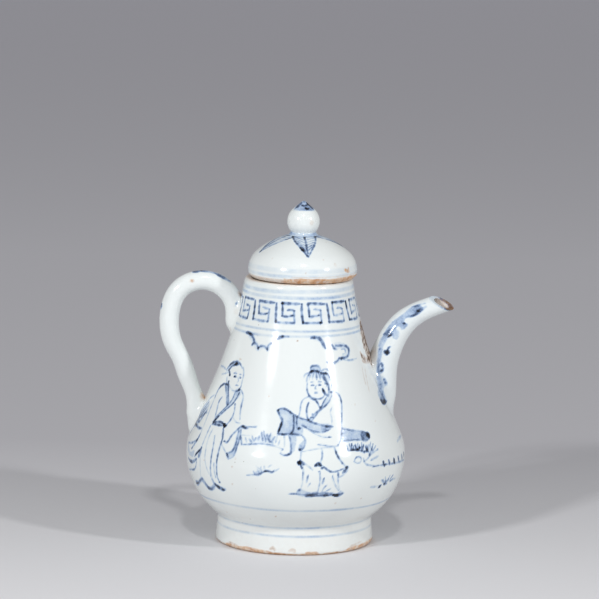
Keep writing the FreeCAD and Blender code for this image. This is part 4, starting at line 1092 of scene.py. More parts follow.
grass_right = [
    line([(24, 48), (26.5, 48), (29.5, 47.5), (32, 46.8), (34.3, 46.4), (35, 45)], 0.8, 0.55),
    line([(22.8, 50), (23.5, 48)], 0.77, 0.37),
    line([(25.2, 50.5), (25.2, 48.3)], 0.86, 0.41),
    line([(27.1, 50.2), (27.7, 48)], 0.7, 0.6),
    line([(29.3, 49.8), (29.0, 47.8)], 0.65, 0.53),
    line([(30.5, 50.5), (30.7, 47.5)], 0.7, 0.51),
    line([(33.5, 49.3), (33.8, 46.8)], 0.86, 0.41),
    line([(37.3, 49.3), (36.3, 47.5), (35, 45.3)], 0.8, 0.45),
    line([(40.3, 46.8), (37.5, 46), (35.3, 45)], 0.8, 0.33),
    line([(40.5, 44), (38, 43.5), (35.5, 42.8)], 0.86, 0.33),
    line([(35, 44.8), (33.3, 43.5), (31.5, 42.8)], 0.77, 0.34),
    line([(31.5, 44), (32.3, 42), (35, 40.8), (38, 40.1)], 0.77, 0.34),
    dab(35.0, 45.2, 0.9, 0.85),
    dab(32.0, 46.7, 0.9, 0.8),
    dab(28.3, 48.2, 0.7, 0.6),
    dab(30.4, 47.6, 0.6, 0.6),
    dab(29.6, 48.6, 0.8, 0.7),
    dab(33.6, 47.4, 0.8, 0.75),
    dab(36.6, 47.0, 0.7, 0.6),
    line([(24.0, 50.6), (24.6, 48.4)], 0.55, 0.4),
    line([(26.4, 49.8), (26.0, 48.2)], 0.55, 0.45),
    line([(28.4, 50.4), (28.2, 48.2)], 0.55, 0.55),
    line([(31.6, 49.8), (31.2, 47.4)], 0.55, 0.5),
    line([(32.6, 49.2), (33.0, 46.8)], 0.55, 0.45),
    line([(34.8, 49.4), (34.4, 46.4)], 0.55, 0.4),
    line([(38.8, 48.2), (37.2, 46.8), (35.6, 45.4)], 0.6, 0.35),
    line([(35.8, 50.0), (35.4, 47.6)], 0.5, 0.3),
    dab(36.0, 43.0, 0.5, 0.5),
    line([(26.5, 43.4), (27.5, 44.8), (29, 45), (30.2, 44.2), (30, 43), (28, 42.5),
          (26.5, 43.3)], 0.6, 0.28),
    line([(37, 40), (43, 39.9), (48, 39.5), (54, 39), (60, 38.5), (68, 37.8)], 0.86, 0.34),
    line([(36, 30.8), (39, 30.6), (41, 30.5)], 0.95, 0.21),
    line([(41.3, 29.9), (43, 30.7)], 1.29, 0.76),
    line([(45, 30.9), (47.3, 30.6)], 1.29, 0.76),
    line([(44, 33), (45, 32), (47, 32), (48.3, 32.8)], 1.03, 0.31),
    line([(50, 31.4), (53, 31.8), (55.5, 31.6)], 0.95, 0.33),
    line([(45.6, 34.2), (46.4, 31.4)], 0.6, 0.4),
    line([(49.6, 34.2), (47.6, 31.4)], 0.6, 0.36),
    line([(52.6, 33.8), (48.6, 31.6)], 0.6, 0.32),
    line([(43.0, 33.0), (45.0, 31.2)], 0.6, 0.3),
    line([(58, 47.3), (61, 47.8), (64, 48), (68, 48)], 1.12, 0.2),
]
grass_right += [line([(x - 0.4, 41.2), (x + 0.7, 39.2)], 1.29, 0.68)
                for x in (44, 48.2, 52.6, 57.4, 62.5, 67)]
print(f"grass: {len(grass_between)} marks between the figures, {len(grass_right)} at the right")

# %% [markdown]
# The back isn't shown in the picture. Pots of this kind carry on round with a few rocks, grass and clouds,
# so the back repeats those marks, turned about the axis, and has no figures of its own. Its mesh is coarser,
# so its brush is broader.

# %% The back's rock, and a broader brush
BROAD = 1.5
BACK_SOFT = 0.9
rock = [
    line([(-9, 31), (-8, 37), (-4, 42), (0.5, 45), (4.5, 42), (7, 36.5), (9, 31)], 1.2, 0.45),
    line([(-3, 41.5), (-2.5, 37), (-4.5, 33)], 0.9, 0.3),
    wash([(-9, 31), (-8, 37), (-4, 42), (0.5, 45), (4.5, 42), (7, 36.5), (9, 31)], 0.13),
    line([(-18, 30.6), (-9, 30.2), (0, 30.6), (9, 30.2), (19, 30.8)], 0.8, 0.35),
]
reeds = [(10, 11, 38), (12, 15, 36.5), (14.5, 19.5, 34.5), (-11, -13, 36), (-13, -17, 34.5)]
rock += [line([(x, 31), (tip_x, tip_z)], 0.8, 0.4) for x, tip_x, tip_z in reeds]


def broad(marks):
    """A copy of some marks with a broader, wetter brush, for the back, where the mesh is coarser."""
    return [mark | {"width": BROAD * mark.get("width", 0), "soft": BACK_SOFT} for mark in marks]


print(f"rock: {len(rock)} marks")

# %% [markdown]
# The spout carries a leafy scroll that runs down from its lip onto the wall. A tube can't be unrolled as
# simply as the body, so the scroll is drawn as it is seen from the front: its points say how far across and
# how high each mark shows. The same marks lie on the far side.

# %% Scroll on the spout
spout_scroll = [
    wash([(53.0, 105.0), (50.6, 105.0), (47.9, 103.2), (44.7, 100.5), (41.2, 97.7), (38.4, 93.9),
          (36.5, 90.2), (35.4, 87.0), (34.9, 82.6), (34.6, 78.6), (34.7, 75.1), (34.8, 71.6),
          (35.3, 68.1), (35.0, 64.6), (35.5, 62.0), (38.4, 61.6), (38.2, 64.6), (37.8, 68.1),
          (36.9, 71.6), (36.2, 75.1), (36.2, 78.6), (36.7, 82.6), (37.4, 86.6), (38.7, 89.4),
          (40.3, 91.3), (41.8, 90.4), (43.2, 89.7), (44.2, 91.6), (43.7, 93.7), (42.6, 94.4),
          (43.6, 95.5), (45.1, 94.2), (46.9, 94.9), (47.6, 96.8), (46.1, 97.5), (46.5, 98.6),
          (48.2, 100.0), (50.9, 100.4), (53.2, 101.6), (54.2, 103.6)], 0.24),
    wash([(36.2, 73.6), (38.0, 73.0), (39.3, 70.8), (39.2, 69.4), (38.2, 68.4), (38.4, 65.2),
          (38.8, 62.6), (36.2, 62.2), (35.6, 66.0), (35.8, 70.0)], 0.14),
    line([(35.6, 87.2), (37.1, 90.4), (39.8, 93.2), (42.4, 95.0)], 1.6, 0.15),
    line([(35.8, 81.0), (35.4, 76.5), (35.6, 72.0), (36.6, 66.5), (36.6, 63.0)], 1.0, 0.1),
    line([(47.2, 99.8), (49.8, 100.4), (52.6, 102.4)], 1.1, 0.3),
    line([(51.6, 102.4), (53.8, 103.4), (55.6, 104.6)], 1.5, 0.24),
    line([(50.6, 104.4), (53.2, 105.4), (55.2, 106.0)], 1.0, 0.18),
    wash([(37.5, 84.8), (38.7, 85.1), (40.0, 84.6), (40.0, 83.5), (39.0, 82.8), (37.9, 83.6)], 0.62),
    line([(39.2, 84.4), (39.6, 86.0), (40.3, 86.6)], 0.9, 0.5),
    line([(36.7, 62.9), (37.8, 62.4), (38.9, 62.4)], 1.5, 0.45),
    dab(38.2, 62.0, 1.5, 0.7),
    line([(36.7, 79.1), (37.2, 76.5), (36.6, 75.0)], 1.2, 0.45),
    dab(36.6, 75.8, 0.7, 0.5),
    dab(36.5, 69.9, 0.8, 0.4),
    line([(37.9, 72.2), (38.5, 71.0), (39.0, 69.6)], 1.1, 0.42),
    dab(46.2, 97.0, 0.7, 0.45),
    line([(39.4, 90.9), (40.1, 91.5), (41.0, 92.1)], 1.0, 0.45),
    line([(49.2, 100.1), (51.0, 100.8)], 1.0, 0.35),
    dab(52.5, 102.6, 0.8, 0.35),
    dab(35.9, 85.4, 0.5, 0.4),
    dab(37.6, 92.2, 0.5, 0.4),
]
print(f"scroll: {len(spout_scroll)} marks")

# %% [markdown]
# Now the marks go onto the wall. Each motif has the direction that it faces. The fret's unit is repeated
# round the neck, and a hand never repeats a mark exactly, so every copy is shifted a little by chance. The
# banded lines were drawn while the pot turned on a wheel.

# %% The whole drawing, laid on the bowl and the shoulder
CAMERA_TILT = 8.96
SIGHT = math.tan(math.radians(CAMERA_TILT))
HAND_SHIFT = 0.14
HAND_LOAD = 0.65, 1.35
POT_LINES = [(113.5, 1.5, 0.12), (111.0, 1.2, 0.18), (97.0, 0.8, 0.2), (94.8, 0.8, 0.18), (21.6, 0.75, 0.2),
             (104.6, 9.5, 0.03)]
OUTER_FACE = 0.05
root_inside, root_half, root_top = 33, 14, 80
hand = np.random.default_rng(7)


def unsteady(marks):
    """A copy of some marks as a hand would repeat them: each point and each load a little different."""
    copies = []
    for mark in marks:
        points = [(x + hand.normal(0, HAND_SHIFT), z + hand.normal(0, HAND_SHIFT))
                  for x, z in mark["points"]]
        tone = float(np.clip(mark["tone"] * hand.uniform(*HAND_LOAD), 0, 1))
        copies.append(mark | {"points": points, "tone": tone})
    return copies


MOTIFS = [(0, clouds + scholar_head + scholar_robe + scholar_hem),
          (0, attendant),
          (0, grass_between + grass_right),
          (180, broad(rock + clouds)),
          (150, broad(grass_between)),
          (-150, broad(grass_between))]
MOTIFS += [(FRET_START + 360 / FRET_UNITS * i, unsteady(fret_unit)) for i in range(FRET_UNITS)]


def seen_from_side(places, x=0.0):
    """Where each point shows when the pot is looked at from its front, and the same for the far side."""
    return places[:, 0] - x, places[:, 2] - np.abs(places[:, 1]) * SIGHT


def paint_wall(piece):
    """Lays the whole drawing on the outer face of a round piece, and returns the share that is blue."""
    places, normals = points_of(piece)
    turn, radius, outward = around_axis(places, normals)
    cobalt = np.zeros(len(places))
    for degrees, marks in MOTIFS:
        from_motif = (turn - math.radians(degrees) + math.pi) % (2 * math.pi) - math.pi
        lay_marks(cobalt, radius * from_motif, places[:, 2], marks)
    for z, width, tone in POT_LINES:
        cobalt = over(cobalt, ring_density(turn, places[:, 2], z, width, tone))
    scroll = np.zeros(len(places))
    lay_marks(scroll, *seen_from_side(places), spout_scroll)
    by_root = (places[:, 0] > root_inside) & (np.abs(places[:, 1]) < root_half) & (places[:, 2] < root_top)
    cobalt = np.where(by_root, np.maximum(cobalt, scroll), cobalt)
    cobalt = np.where(outward > OUTER_FACE * radius, cobalt, 0)
    store(piece, "cobalt", cobalt)
    return np.mean(cobalt > 0.1)


for piece in (bowl, shoulder):
    print(f"{piece.name}: {paint_wall(piece):.0%} of its points carry blue")

# %% [markdown]
# ## Marks on the other pieces
#
# The lid's leaves are drawn on its dome as if it were flattened from the middle outwards, so that one leaf
# can be turned to all four quarters. Spout, handle and knob are drawn as they are seen from the side, with
# the same marks on the far side. Bare clay that has toasted in the fire and old brown residue in the corners
# get layers of their own, because they change the gloss as well as the colour. The same two layers also
# carry painted shade: in gaps, in the spout's bore, on the foot and low on the bowl.

# %% A leaf of the lid
leaf = [
    wash([(-4.6, 4.8), (-3.8, 10.2), (-2.4, 13.7), (-0.5, 17.2), (2.5, 21.6), (3.6, 18.9), (4.8, 14.8),
          (5.5, 10.0), (5.2, 4.8), (0.8, 5.6)], 0.06),
    line([(-4.6, 4.6), (-3.8, 10.2), (-2.4, 13.7), (-0.5, 17.2), (2.4, 21.6)], 0.9, 0.5),
    line([(5.3, 4.8), (5.5, 10.0), (4.8, 14.8), (3.6, 18.9), (2.7, 21.6)], 0.85, 0.45),
    line([(1.0, 5.2), (0.6, 7.0), (1.2, 11.2), (1.6, 15.5), (2.4, 19.8)], 1.0, 0.62),
    dab(-4.4, 5.4, 0.9, 0.6),
    dab(5.3, 6.2, 0.8, 0.6),
    dab(0.9, 6.0, 1.0, 0.7),
    line([(-1.2, 15.9), (0.0, 18.0)], 1.3, 0.75),
    line([(2.0, 20.9), (2.7, 21.9)], 1.3, 0.75),
]
VEIN_WIDTH, VEIN_TONE = 0.55, 0.36
left_veins = [(-3.9, 0.8, 6.4), (-3.6, 1.0, 8.4), (-3.1, 1.2, 10.4), (-2.4, 1.5, 12.2), (-1.6, 1.8, 14.0),
              (-0.4, 2.1, 15.8)]
right_veins = [(5.3, 1.0, 6.6), (5.3, 1.2, 8.8), (5.1, 1.4, 10.8), (4.7, 1.7, 12.8), (4.2, 2.0, 14.8)]
for veins, reach in ((left_veins, 4.4), (right_veins, 3.6)):
    leaf += [line([(x, out), (middle, out + reach)], VEIN_WIDTH, VEIN_TONE) for x, middle, out in veins]
print(f"leaf: {len(leaf)} marks")

# %% The lid laid flat
LEAF_TURNS = (0, 90, 180, -76)
LID_LINES = [(seat + 5.6, 1.8, 0.07), (seat + 3.3, 1.2, 0.11), (crown - 0.2, 0.5, 0.2)]
LID_WAVER = 0.1
LAND_GAP = 0.15
dome_down = [p for p in dome_outline if p.x > knob_land - 0.01 and p.y > seat + 1e-3][::-1]
down_steps = np.cumsum([0] + [(b - a).length for a, b in zip(dome_down, dome_down[1:])])


def ripple(turn, start=0.0):
    """An uneven edge round the pot, between about minus one and one."""
    fine = 0.3 * np.sin(17 * turn + 2 * start) + 0.2 * np.sin(41 * turn + 3 * start)
    return 0.5 * np.sin(7 * turn + start) + fine


def around_lid(places):
    """How far round the lid each point lies, and how far out from its middle, along the dome."""
    turn = np.arctan2(places[:, 0] - lid_x, -places[:, 1])
    down = np.interp(-places[:, 2], [-p.y for p in dome_down], down_steps)
    return turn, down + knob_land + LAND_GAP


def laid_flat(turn, out, degrees=0):
    """Places on the flattened dome, with one direction pointing up the page."""
    from_leaf = turn - math.radians(degrees)
    return out * np.sin(from_leaf), out * np.cos(from_leaf)


places, normals = points_of(dome)
turn, out = around_lid(places)
z = places[:, 2]
outside = (normals[:, 2] > -0.8) & (np.hypot(places[:, 0] - lid_x, places[:, 1]) > knob_land - 0.1)
outside &= np.sum(normals * (places - np.array((lid_x, 0, seat + 2))), axis=1) > 0
cobalt = np.zeros(len(places))
for degrees in LEAF_TURNS:
    lay_marks(cobalt, *laid_flat(turn, out, degrees), leaf)
for height, width, tone in LID_LINES:
    cobalt = over(cobalt, ring_density(turn, z, height, width, tone, LID_WAVER))
store(dome, "cobalt", np.where(outside, cobalt, 0))
print(f"{dome.name}: {np.mean(cobalt > 0.1):.0%} of its points carry blue")

# %% [markdown]
# The lid's lower edge was wiped before firing, more on one side than on the other. The bare clay toasted to
# orange there, with a chip and a few specks. Its bottom edge, in the gap over the rim, gets painted shade.

# %% The lid's bare edge
LID_BARE = [(-180, 0.5), (-100, 0.35), (-60, 0.3), (-25, 0.32), (-18, 1.0), (70, 1.0), (95, 0.9),
            (130, 0.45), (180, 0.5)]
TOAST_LINES = [(-12, 85, seat + 3.1, 0.3), (-110, -15, seat + 1.5, 0.6)]
LID_CHIPS = [
    line([(22.4, 18.4), (23.6, 17.6), (25.6, 15.6)], 1.5, 0.75),
    dab(24.2, 15.4, 0.8, 0.6),
    dab(16.4, 20.6, 1.3, 0.22),
]
LID_SPECKS = [
    dab(1.8, 29.4, 0.4, 0.9),
    dab(9.9, 21.4, 0.4, 0.5),
    dab(-14.7, 18.6, 0.35, 0.4),
    dab(10.4, 7.8, 0.35, 0.4),
    dab(26.0, 15.3, 0.4, 0.6),
]
quarter = np.degrees(turn)
bare_top = seat + np.where((quarter > -20) & (quarter < 110), 2.4, 1.6) + 0.35 * ripple(turn, 1.0)
toast_and_shade = np.interp(quarter, *zip(*LID_BARE)) * ease(-0.25, 0.25, bare_top - z)
lay_marks(toast_and_shade, *laid_flat(turn, out), LID_CHIPS)
for first, last, height, tone in TOAST_LINES:
    here = np.where((quarter > first) & (quarter < last), tone, 0)
    toast_and_shade = np.maximum(toast_and_shade, here * (1 - ease(0.1, 0.4, np.abs(z - height))))
grime_and_shade = np.zeros(len(places))
lay_marks(grime_and_shade, *laid_flat(turn, out), LID_SPECKS)
# Painted shade on the lid's bottom edge, in the dark gap over the rim.
lid_gap_painted_shade = 0.75 * (1 - ease(seat, seat + 0.4, z))
store(dome, "toast_and_shade", np.where(outside, toast_and_shade, 0.6 * (z < seat + 0.5)))
store(dome, "grime_and_shade", np.maximum(np.where(outside, grime_and_shade, 0), lid_gap_painted_shade))
print(f"{dome.name}: {np.mean(toast_and_shade > 0.5):.0%} of its points are toasted")

# %% [markdown]
# The knob has a small blue cap, and the handle a few dashes along its back. Both are drawn from the side.

# %% Knob and handle, drawn from the side
GLAZE_TINT = 0.03
knob_cap = [
    wash([(-4.4, 146.2), (-2.5, 148.0), (-0.6, 150.0), (0.8, 150.0), (2.8, 148.0), (4.6, 146.2),
          (0, 145.6)], 0.25),
    line([(-3.6, 146.6), (-2.3, 147.8), (-0.9, 149.3)], 0.9, 0.5),
    line([(1.2, 149.3), (2.6, 148.0), (4.1, 146.6)], 0.9, 0.5),
    line([(-0.8, 148.0), (0.2, 147.8), (1.2, 148.1)], 0.9, 0.6),
    line([(0.8, 146.8), (1.6, 146.4), (2.2, 146.7)], 0.9, 0.5),
    dab(0.2, 149.6, 0.6, 0.4),
]
handle_dashes = [
    line([(-46.0, 118.0), (-44.6, 118.3), (-43.2, 118.5)], 1.4, 0.36),
    line([(-42.4, 118.6), (-39.6, 118.5), (-36.6, 117.8)], 1.5, 0.34),
    line([(-36.4, 117.5), (-33.4, 116.0), (-30.0, 114.1)], 1.1, 0.38),
    line([(-59.6, 103.4), (-59.9, 101.4)], 1.0, 0.42),
    line([(-26.6, 105.0), (-27.2, 103.8)], 0.7, 0.4),
]


def drawn_from_side(piece, marks, x=0.0):
    """Density of marks as they show on a piece from the front, and in the same way on its far side."""
    places, _ = points_of(piece)
    cobalt = np.zeros(len(places))
    lay_marks(cobalt, *seen_from_side(places, x), marks)
    return cobalt


store(knob, "cobalt", drawn_from_side(knob, knob_cap, lid_x))
store(handle, "cobalt", drawn_from_side(handle, handle_dashes))

places, _ = points_of(knob_bead)
turn, _ = around_lid(places)
bead_line = ring_density(turn, places[:, 2], crown + 0.6, 1.3, 0.2, LID_WAVER)
store(knob_bead, "cobalt", GLAZE_TINT + bead_line)
print(f"knob: {len(knob_cap)} marks, handle: {len(handle_dashes)} marks")

# %% [markdown]
# The spout's lip is edged with a dark line, heaviest on its outer side. The bore is darkened with painted
# shade, so its points are found here: they lie near the lip and face the spout's own line.

# %% The spout's lip and bore
# A faint blue-grey tint over the whole spout is painted shade.
SPOUT_PAINTED_SHADE = 0.02
BORE_SEEN = 14
BORE_BACK = 30        # stations from the bore's end, to find the way it points
places, normals = points_of(spout)
from_lip = places - np.array(lip_point)
pour = np.array((spout_tip.x - bore[-BORE_BACK, 0], 0, spout_tip.y - bore[-BORE_BACK, 1]))
pour /= np.linalg.norm(pour)
from_line = from_lip - (from_lip @ pour)[:, None] * pour
in_bore = (np.sum(normals * from_line, axis=1) < 0) & (np.linalg.norm(from_lip, axis=1) < BORE_SEEN)
side = np.arctan2(places[:, 1], places[:, 0] - lip_point.x)
dark = np.clip(0.35 + 0.6 * np.cos(side - 0.2) + 0.2 * ripple(side, 2.0), 0.1, 0.95)
lip_line = dark * (1 - ease(0.15, 0.55, np.abs(from_lip @ np.array(lip_normal))))
# The scroll, over a faint tint of painted shade on the whole spout.
cobalt = np.maximum(drawn_from_side(spout, spout_scroll), SPOUT_PAINTED_SHADE)
store(spout, "cobalt", np.maximum(cobalt, lip_line))
print(f"{spout.name}: {np.mean(in_bore):.0%} of its points are in the bore")

# %% [markdown]
# The foot has two pale banded lines. Its resting edge is bare clay of an uneven height, given by a few
# directions and the height there, with brown spots where the glaze crawled. The whole foot gets a faint warm
# tint of painted shade, and a dark band at the resting edge is partly dirt and partly painted contact shade.

# %% Foot and its toasted edge
# A faint warm tint of painted shade over the whole foot, which stands under the belly.
FOOT_PAINTED_SHADE = 0.06
FOOT_LINES = [(12.2, 0.9, 0.17), (8.3, 0.8, 0.17)]
FOOT_WAVER = 0.1
FOOT_BARE = [(-180, 1.3), (-95, 1.0), (-62, 0.8), (-57, 1.7), (-45, 2.0), (-35, 2.4), (-22, 1.9), (-15, 1.0),
             (0, 0.9), (8, 1.0), (9, 2.0), (17, 1.9), (19, 0.9), (40, 0.9), (44, 1.8), (60, 2.5), (80, 2.5),
             (95, 1.4), (180, 1.3)]
FOOT_SPOTS = [
    line([(-10.2, 2.6), (-9.2, 3.2), (-8.4, 2.2)], 1.5, 0.55),
    line([(-1.8, 2.2), (-0.6, 2.6), (0.4, 1.9)], 1.5, 0.55),
    line([(-33.0, 2.4), (-30.0, 2.2), (-27.0, 1.7)], 0.8, 0.5),
    line([(27.0, 2.4), (31.0, 2.9), (35.0, 3.3)], 0.7, 0.35),
]


def paint_foot(piece):
    """Bands, bare clay, spots and painted shade on the foot ring or on its bead of slip."""
    places, normals = points_of(piece)
    turn, radius, outward = around_axis(places, normals)
    outside, z = outward > 0, places[:, 2]
    cobalt, grime_and_shade = np.zeros(len(places)), np.zeros(len(places))
    for height, width, tone in FOOT_LINES:
        cobalt = np.maximum(cobalt, ring_density(turn, z, height, width, tone, FOOT_WAVER))
    bare_top = np.interp(np.degrees(turn), *zip(*FOOT_BARE)) + 0.3 * ripple(turn, 3.0)
    # Bare clay at the resting edge, over a faint warm tint of painted shade.
    toast_and_shade = np.maximum(FOOT_PAINTED_SHADE, 0.85 * (1 - ease(-0.3, 0.3, z - bare_top)))
    lay_marks(grime_and_shade, radius * turn, z, FOOT_SPOTS)
    # A dark band at the resting edge: partly dirt on the bare clay, partly painted contact shade.
    grime_and_shade = np.maximum(grime_and_shade, 0.5 * (1 - ease(0.2, 0.8, z + 0.2 * ripple(turn, 5.0))))
    store(piece, "cobalt", np.where(outside, cobalt, 0))
    store(piece, "toast_and_shade", np.where(outside, toast_and_shade, z < 3))
    store(piece, "grime_and_shade", np.where(outside, grime_and_shade, 0))


for piece in (foot, bead_ring):
    paint_foot(piece)
print(f"foot: {len(FOOT_LINES)} bands, {len(FOOT_SPOTS)} spots")

# %% [markdown]
# Years of use leave brown residue in the corners, most of it between the neck and the spout. A stain is a
# soft ball in the frame, so one list reaches across neighbouring pieces. The specks are iron in the clay.
# The same layers also get painted shade: in the spout's bore, in the gap at the rim under the lid, and low
# on the bowl under the belly.

# %% Stains and specks
TOASTED = [((-46.4, -4.0, 114.6), 1.1, 0.95), ((-41.4, -1.0, 62.8), 3.0, 0.9),
           ((-42.2, -2.6, 61.0), 1.6, 0.7), ((61.6, 1.2, 107.4), 2.2, 0.6),
           ((lid_x + 3.6, -6.1, 141.3), 1.6, 0.25), ((-26.4, -4.3, 101.5), 2.2, 0.2)]
RESIDUE = [((33.0, -2.0, 83.4), 5.0, 0.9), ((31.0, -7.5, 82.6), 3.4, 0.8), ((32.0, -6.0, 79.6), 3.0, 0.55),
           ((34.6, -4.6, 80.8), 2.6, 0.6), ((-25.2, -1.5, 108.8), 2.4, 0.5), ((-28.4, -2.4, 93.6), 1.8, 0.5),
           ((-41.2, -1.0, 61.4), 1.5, 0.35), ((-56.1, -2.6, 103.0), 0.6, 0.5)]
SPECKS = [(-28.3, 83.4), (-27.5, 83.2), (0.0, 93.2), (-27.0, 43.5), (-28.7, 39.8), (-46.3, 40.0),
          (-28.5, 32.0), (27.5, 66.0), (-12.0, 70.0), (40.0, 58.0), (18.0, 25.0), (-8.0, 18.5),
          (-33.0, 17.0), (31.0, 26.0)]
SPECK_RADIUS, SPECK_TONE = 0.4, 0.6
SPOUT_SOIL = 0.25
# Painted shade inside the spout's bore, warm and dark.
BORE_WARM_PAINTED_SHADE, BORE_DARK_PAINTED_SHADE = 0.3, 0.16
# Bare clay on the rim's top, and painted shade in the gap between the rim and the lid.
RIM_TOAST, RIM_GAP_PAINTED_SHADE = 0.2, 0.4
# A faint warm tint low on the bowl: painted shade under the belly, partly glaze pooling by the foot.
BELOW_BELLY_PAINTED_SHADE = 0.06
CROTCH = [
    line([(39.2, 96.0), (40.8, 92.0), (43.0, 87.0), (45.6, 82.0)], 8.6, 0.75),
    line([(41.6, 95.0), (43.4, 90.5), (45.6, 85.5)], 4.0, 0.7),
    line([(33.4, 86.2), (34.6, 84.6), (37.0, 83.4), (40.0, 82.8)], 1.8, 0.6),
    dab(34.2, 85.0, 1.3, 0.72),
    dab(37.4, 82.6, 1.2, 0.72),
    dab(40.4, 81.8, 1.2, 0.65),
    dab(42.6, 81.2, 1.1, 0.6),
    line([(34.4, 82.8), (37.0, 81.8), (41.0, 81.4)], 1.2, 0.5),
    line([(33.6, 80.5), (34.2, 77), (35.4, 73)], 0.6, 0.3),
    line([(36.0, 79), (36.6, 74), (37.6, 70)], 0.7, 0.25),
]


def stains(places, spots):
    """Density of soft round stains, each given by its place in the frame, its reach and its strength."""
    density = np.zeros(len(places))
    for centre, reach, tone in spots:
        gap = np.linalg.norm(places - np.array(centre), axis=1)
        density = over(density, tone * (1 - ease(0.25 * reach, reach, gap)))
    return density


for piece in (bowl, shoulder, spout, handle, knob, knob_bead):
    places, normals = points_of(piece)
    toast_and_shade, grime_and_shade = stains(places, TOASTED), stains(places, RESIDUE)
    if piece is spout:
        # Painted shade inside the spout's bore.
        toast_and_shade = np.maximum(toast_and_shade, BORE_WARM_PAINTED_SHADE * in_bore)
        grime_and_shade = np.maximum(SPOUT_SOIL * grime_and_shade, BORE_DARK_PAINTED_SHADE * in_bore)
    if piece in (bowl, shoulder):
        turn, radius, outward = around_axis(places, normals)
        outside, z = outward > 0, places[:, 2]
        lay_marks(grime_and_shade, radius * turn, z, [dab(x, up, SPECK_RADIUS, SPECK_TONE) for x, up in SPECKS])
        lay_marks(grime_and_shade, radius * turn, z, CROTCH)
        rim = ease(rim_height - 0.9, rim_height - 0.2, z + 0.3 * ripple(turn, 4.0))
        toast_and_shade = np.maximum(toast_and_shade, RIM_TOAST * rim)
        # Painted shade low on the bowl under the belly, partly glaze pooling by the foot.
        toast_and_shade = np.maximum(toast_and_shade, BELOW_BELLY_PAINTED_SHADE * outside * (1 - ease(14, 27, z)))
        grime_and_shade = np.where(outside, grime_and_shade, 0)
        # Painted shade on the rim's top, in the gap under the lid.
        grime_and_shade = np.maximum(grime_and_shade, RIM_GAP_PAINTED_SHADE * ease(rim_height - 0.2, rim_height - 0.02, z))
    store(piece, "toast_and_shade", toast_and_shade)
    store(piece, "grime_and_shade", grime_and_shade)
print(f"stains: {len(TOASTED)} toasted, {len(RESIDUE)} of residue, {len(SPECKS)} specks")

# %% [markdown]
# ## The glaze
#
# Porcelain glaze is a thin clear glass over a white body, faintly blue where it lies thick. One Principled
# shader is enough. Its colour comes from the three layers on the mesh: cobalt runs through a ramp from thin
# to heaped blue, broken up by a fine noise, because the pigment gathers in dark specks. Toasted clay and
# residue lie over it, and the same two layers carry painted shade in gaps, hollows and low on the pot. Two
# soft noises keep the surface from being a perfect mirror.

# %% Material helpers
def new_material(name):
    """A new material with its node tree and its shader."""
    material = bpy.data.materials.new(name)
    material.use_nodes = True
    return material, material.node_tree, material.node_tree.nodes["Principled BSDF"]


def feed(tree, socket, value):
    """Gives a socket a link or a constant."""
    if isinstance(value, bpy.types.NodeSocket):
        tree.links.new(value, socket)
    else:
        socket.default_value = value


def object_place(tree):
    """Each point's place on its own object, in metres."""
    return tree.nodes.new("ShaderNodeTexCoord").outputs["Object"]


def noise(tree, scale, detail, rough=0.5):
    """A cloudy value between about 0 and 1."""
    node = tree.nodes.new("ShaderNodeTexNoise")
    node.inputs["Scale"].default_value = scale
    node.inputs["Detail"].default_value = detail
    node.inputs["Roughness"].default_value = rough
    tree.links.new(object_place(tree), node.inputs["Vector"])
    return node.outputs["Fac"]


def iron_specks(tree, scale):
    """Distance to the nearest of some scattered points."""
    node = tree.nodes.new("ShaderNodeTexVoronoi")
    node.inputs["Scale"].default_value = scale
    tree.links.new(object_place(tree), node.inputs["Vector"])
    return node.outputs["Distance"]


def maths(tree, operation, a, b, clamp=False):
    """One sum of two values or sockets."""
    node = tree.nodes.new("ShaderNodeMath")
    node.operation = operation
    node.use_clamp = clamp
    feed(tree, node.inputs[0], a)
    feed(tree, node.inputs[1], b)
    return node.outputs[0]


def remap(tree, value, span, to):
    """Stretches a value from one span to another, and holds it at the ends."""
    node = tree.nodes.new("ShaderNodeMapRange")
    feed(tree, node.inputs["Value"], value)
    for name, number in zip(("From Min", "From Max", "To Min", "To Max"), (*span, *to)):
        node.inputs[name].default_value = number
    return node.outputs["Result"]


def blend_colour(tree, factor, a, b, mode="MIX"):
    """Two colours mixed or multiplied."""
    node = tree.nodes.new("ShaderNodeMix")
    node.data_type = "RGBA"
    node.blend_type = mode
    feed(tree, node.inputs["Factor"], factor)
    feed(tree, node.inputs["A"], a)
    feed(tree, node.inputs["B"], b)
    return node.outputs["Result"]


def layer(tree, name):
    """A number that is stored on the points of the mesh."""
    node = tree.nodes.new("ShaderNodeAttribute")
    node.attribute_name = name
    return node.outputs["Fac"]


def colour_ramp(tree, value, stops):
    """A colour for each value, between stops of (position, colour)."""
    node = tree.nodes.new("ShaderNodeValToRGB")
    elements = node.color_ramp.elements
    for i, (position, colour) in enumerate(stops):
        element = elements[i] if i < 2 else elements.new(position)
        element.position = position
        element.color = (*colour, 1)
    feed(tree, node.inputs["Fac"], value)
    return node.outputs["Color"]


def bump(tree, shader, height, strength, distance):
    """Unevenness that is too fine for the mesh."""
    node = tree.nodes.new("ShaderNodeBump")
    node.inputs["Strength"].default_value = strength
    node.inputs["Distance"].default_value = distance
    tree.links.new(height, node.inputs["Height"])
    tree.links.new(node.outputs["Normal"], shader.inputs["Normal"])


